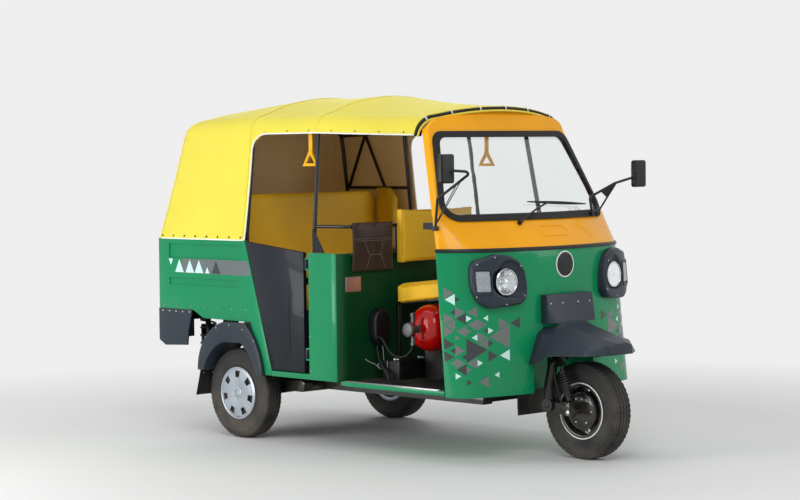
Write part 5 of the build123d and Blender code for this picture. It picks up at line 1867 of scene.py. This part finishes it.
# ---------------------------------------------------------------- floor, lamps and camera
WHITE = 0.86                # strength of the backdrop's white
WORLD_LIGHT = 0.36
FLOOR_NEAR, FLOOR_FAR = 2.2, 4.8    # where the floor starts and ends turning into the backdrop
FLOOR_REACH = 40.0
CAMERA_PLACE = (-8.54861, -8.56259, 1.59111)
CAMERA_LENS = 99
CAMERA_YAW, CAMERA_PITCH = math.radians(44.44), math.radians(-2.59)
CAMERA_ROLL = -0.01102


def seen_directly(tree):
    """Socket that is 1 for rays from the camera, a mirror or through glass."""
    path = tree.nodes.new("ShaderNodeLightPath")
    seen = path.outputs["Is Camera Ray"]
    for ray in ("Is Glossy Ray", "Is Transmission Ray"):
        either = tree.nodes.new("ShaderNodeMath")
        either.operation = "MAXIMUM"
        tree.links.new(seen, either.inputs[0])
        tree.links.new(path.outputs[ray], either.inputs[1])
        seen = either.outputs[0]
    return seen


def make_stage():
    """Pale floor and backdrop, soft lamps and the camera of the photographed view."""
    scene = bpy.context.scene
    scene.view_settings.view_transform = "Standard"
    mesh = bpy.data.meshes.new("floor")
    corners = [(x * FLOOR_REACH, y * FLOOR_REACH, 0) for x, y in ((-1, -1), (1, -1), (1, 1), (-1, 1))]
    mesh.from_pydata(corners, [], [(0, 1, 2, 3)])
    floor = bpy.data.objects.new("floor", mesh)
    scene.collection.objects.link(floor)
    floor_finish = Finish("floor", Base_Color=srgb(232, 232, 230), Roughness=0.75)
    floor_finish.vary(0.6, 0.02)
    # Further out the floor turns into the white of the backdrop, where it has no shadow to keep
    length = floor_finish.add("ShaderNodeVectorMath", operation="LENGTH")
    floor_finish.link(floor_finish.coords, length.inputs[0])
    far = floor_finish.ramp(length.outputs["Value"], FLOOR_NEAR, FLOOR_FAR)
    glow = floor_finish.add("ShaderNodeEmission")
    glow.inputs["Color"].default_value = (1.0, 1.0, 1.0, 1.0)
    glow.inputs["Strength"].default_value = WHITE
    shown = floor_finish.times(far, seen_directly(floor_finish.tree))
    blend = floor_finish.add("ShaderNodeMixShader")
    floor_finish.link(shown, blend.inputs["Fac"])
    floor_finish.link(floor_finish.shader.outputs["BSDF"], blend.inputs[1])
    floor_finish.link(glow.outputs["Emission"], blend.inputs[2])
    floor_finish.link(blend.outputs["Shader"], floor_finish.tree.nodes["Material Output"].inputs["Surface"])
    mesh.materials.append(floor_finish.material)

    world = bpy.data.worlds.new("studio")
    scene.world = world
    world.use_nodes = True
    tree = world.node_tree
    background = tree.nodes["Background"]
    background.inputs["Color"].default_value = (0.93, 0.96, 1.0, 1.0)
    background.inputs["Strength"].default_value = WORLD_LIGHT
    white = tree.nodes.new("ShaderNodeBackground")
    white.inputs["Color"].default_value = (1.0, 1.0, 1.0, 1.0)
    white.inputs["Strength"].default_value = WHITE
    mix = tree.nodes.new("ShaderNodeMixShader")
    tree.links.new(seen_directly(tree), mix.inputs["Fac"])
    tree.links.new(background.outputs[0], mix.inputs[1])
    tree.links.new(white.outputs[0], mix.inputs[2])
    tree.links.new(mix.outputs[0], tree.nodes["World Output"].inputs["Surface"])

    # columns: name, place, aim, width, height, watts
    lamps = [
        ("key", (-4.5, -5.5, 5.5), (0, 0, 0.8), 4.0, 3.0, 192),
        ("side", (-7.0, 2.0, 3.2), (0, 0.2, 0.9), 4.0, 2.5, 100),
        ("front_fill", (3.5, -6.5, 3.0), (0, -0.6, 0.8), 3.0, 2.5, 74),
        ("top", (0, 0.5, 6.5), (0, 0.2, 0), 5.0, 5.0, 76),
        ("back", (4.5, 5.5, 4.0), (0, 0, 0.9), 4.0, 3.0, 100),
        ("low_fill", (-4.6, 1.3, 0.85), (0, 0.6, 1.7), 2.4, 1.2, 72),
    ]
    for name, place, aim, width, height, watts in lamps:
        light = bpy.data.lights.new(name, "AREA")
        light.shape = "RECTANGLE"
        light.size = width
        light.size_y = height
        light.energy = watts
        lamp = bpy.data.objects.new(name, light)
        lamp.location = place
        lamp.rotation_euler = (Vector(aim) - Vector(place)).to_track_quat("-Z", "Y").to_euler()
        scene.collection.objects.link(lamp)

    data = bpy.data.cameras.new("camera")
    data.sensor_width = 36
    data.lens = CAMERA_LENS
    camera = bpy.data.objects.new("camera", data)
    level = math.cos(CAMERA_PITCH)
    ahead = Vector((math.sin(CAMERA_YAW) * level, math.cos(CAMERA_YAW) * level, math.sin(CAMERA_PITCH)))
    right = ahead.cross(Vector((0, 0, 1))).normalized()
    up = right.cross(ahead)
    side = right * math.cos(CAMERA_ROLL) + up * math.sin(CAMERA_ROLL)
    top = up * math.cos(CAMERA_ROLL) - right * math.sin(CAMERA_ROLL)
    turn = Matrix((side, top, -ahead)).transposed()
    camera.matrix_world = Matrix.Translation(CAMERA_PLACE) @ turn.to_4x4()
    scene.collection.objects.link(camera)
    scene.camera = camera


make_stage()
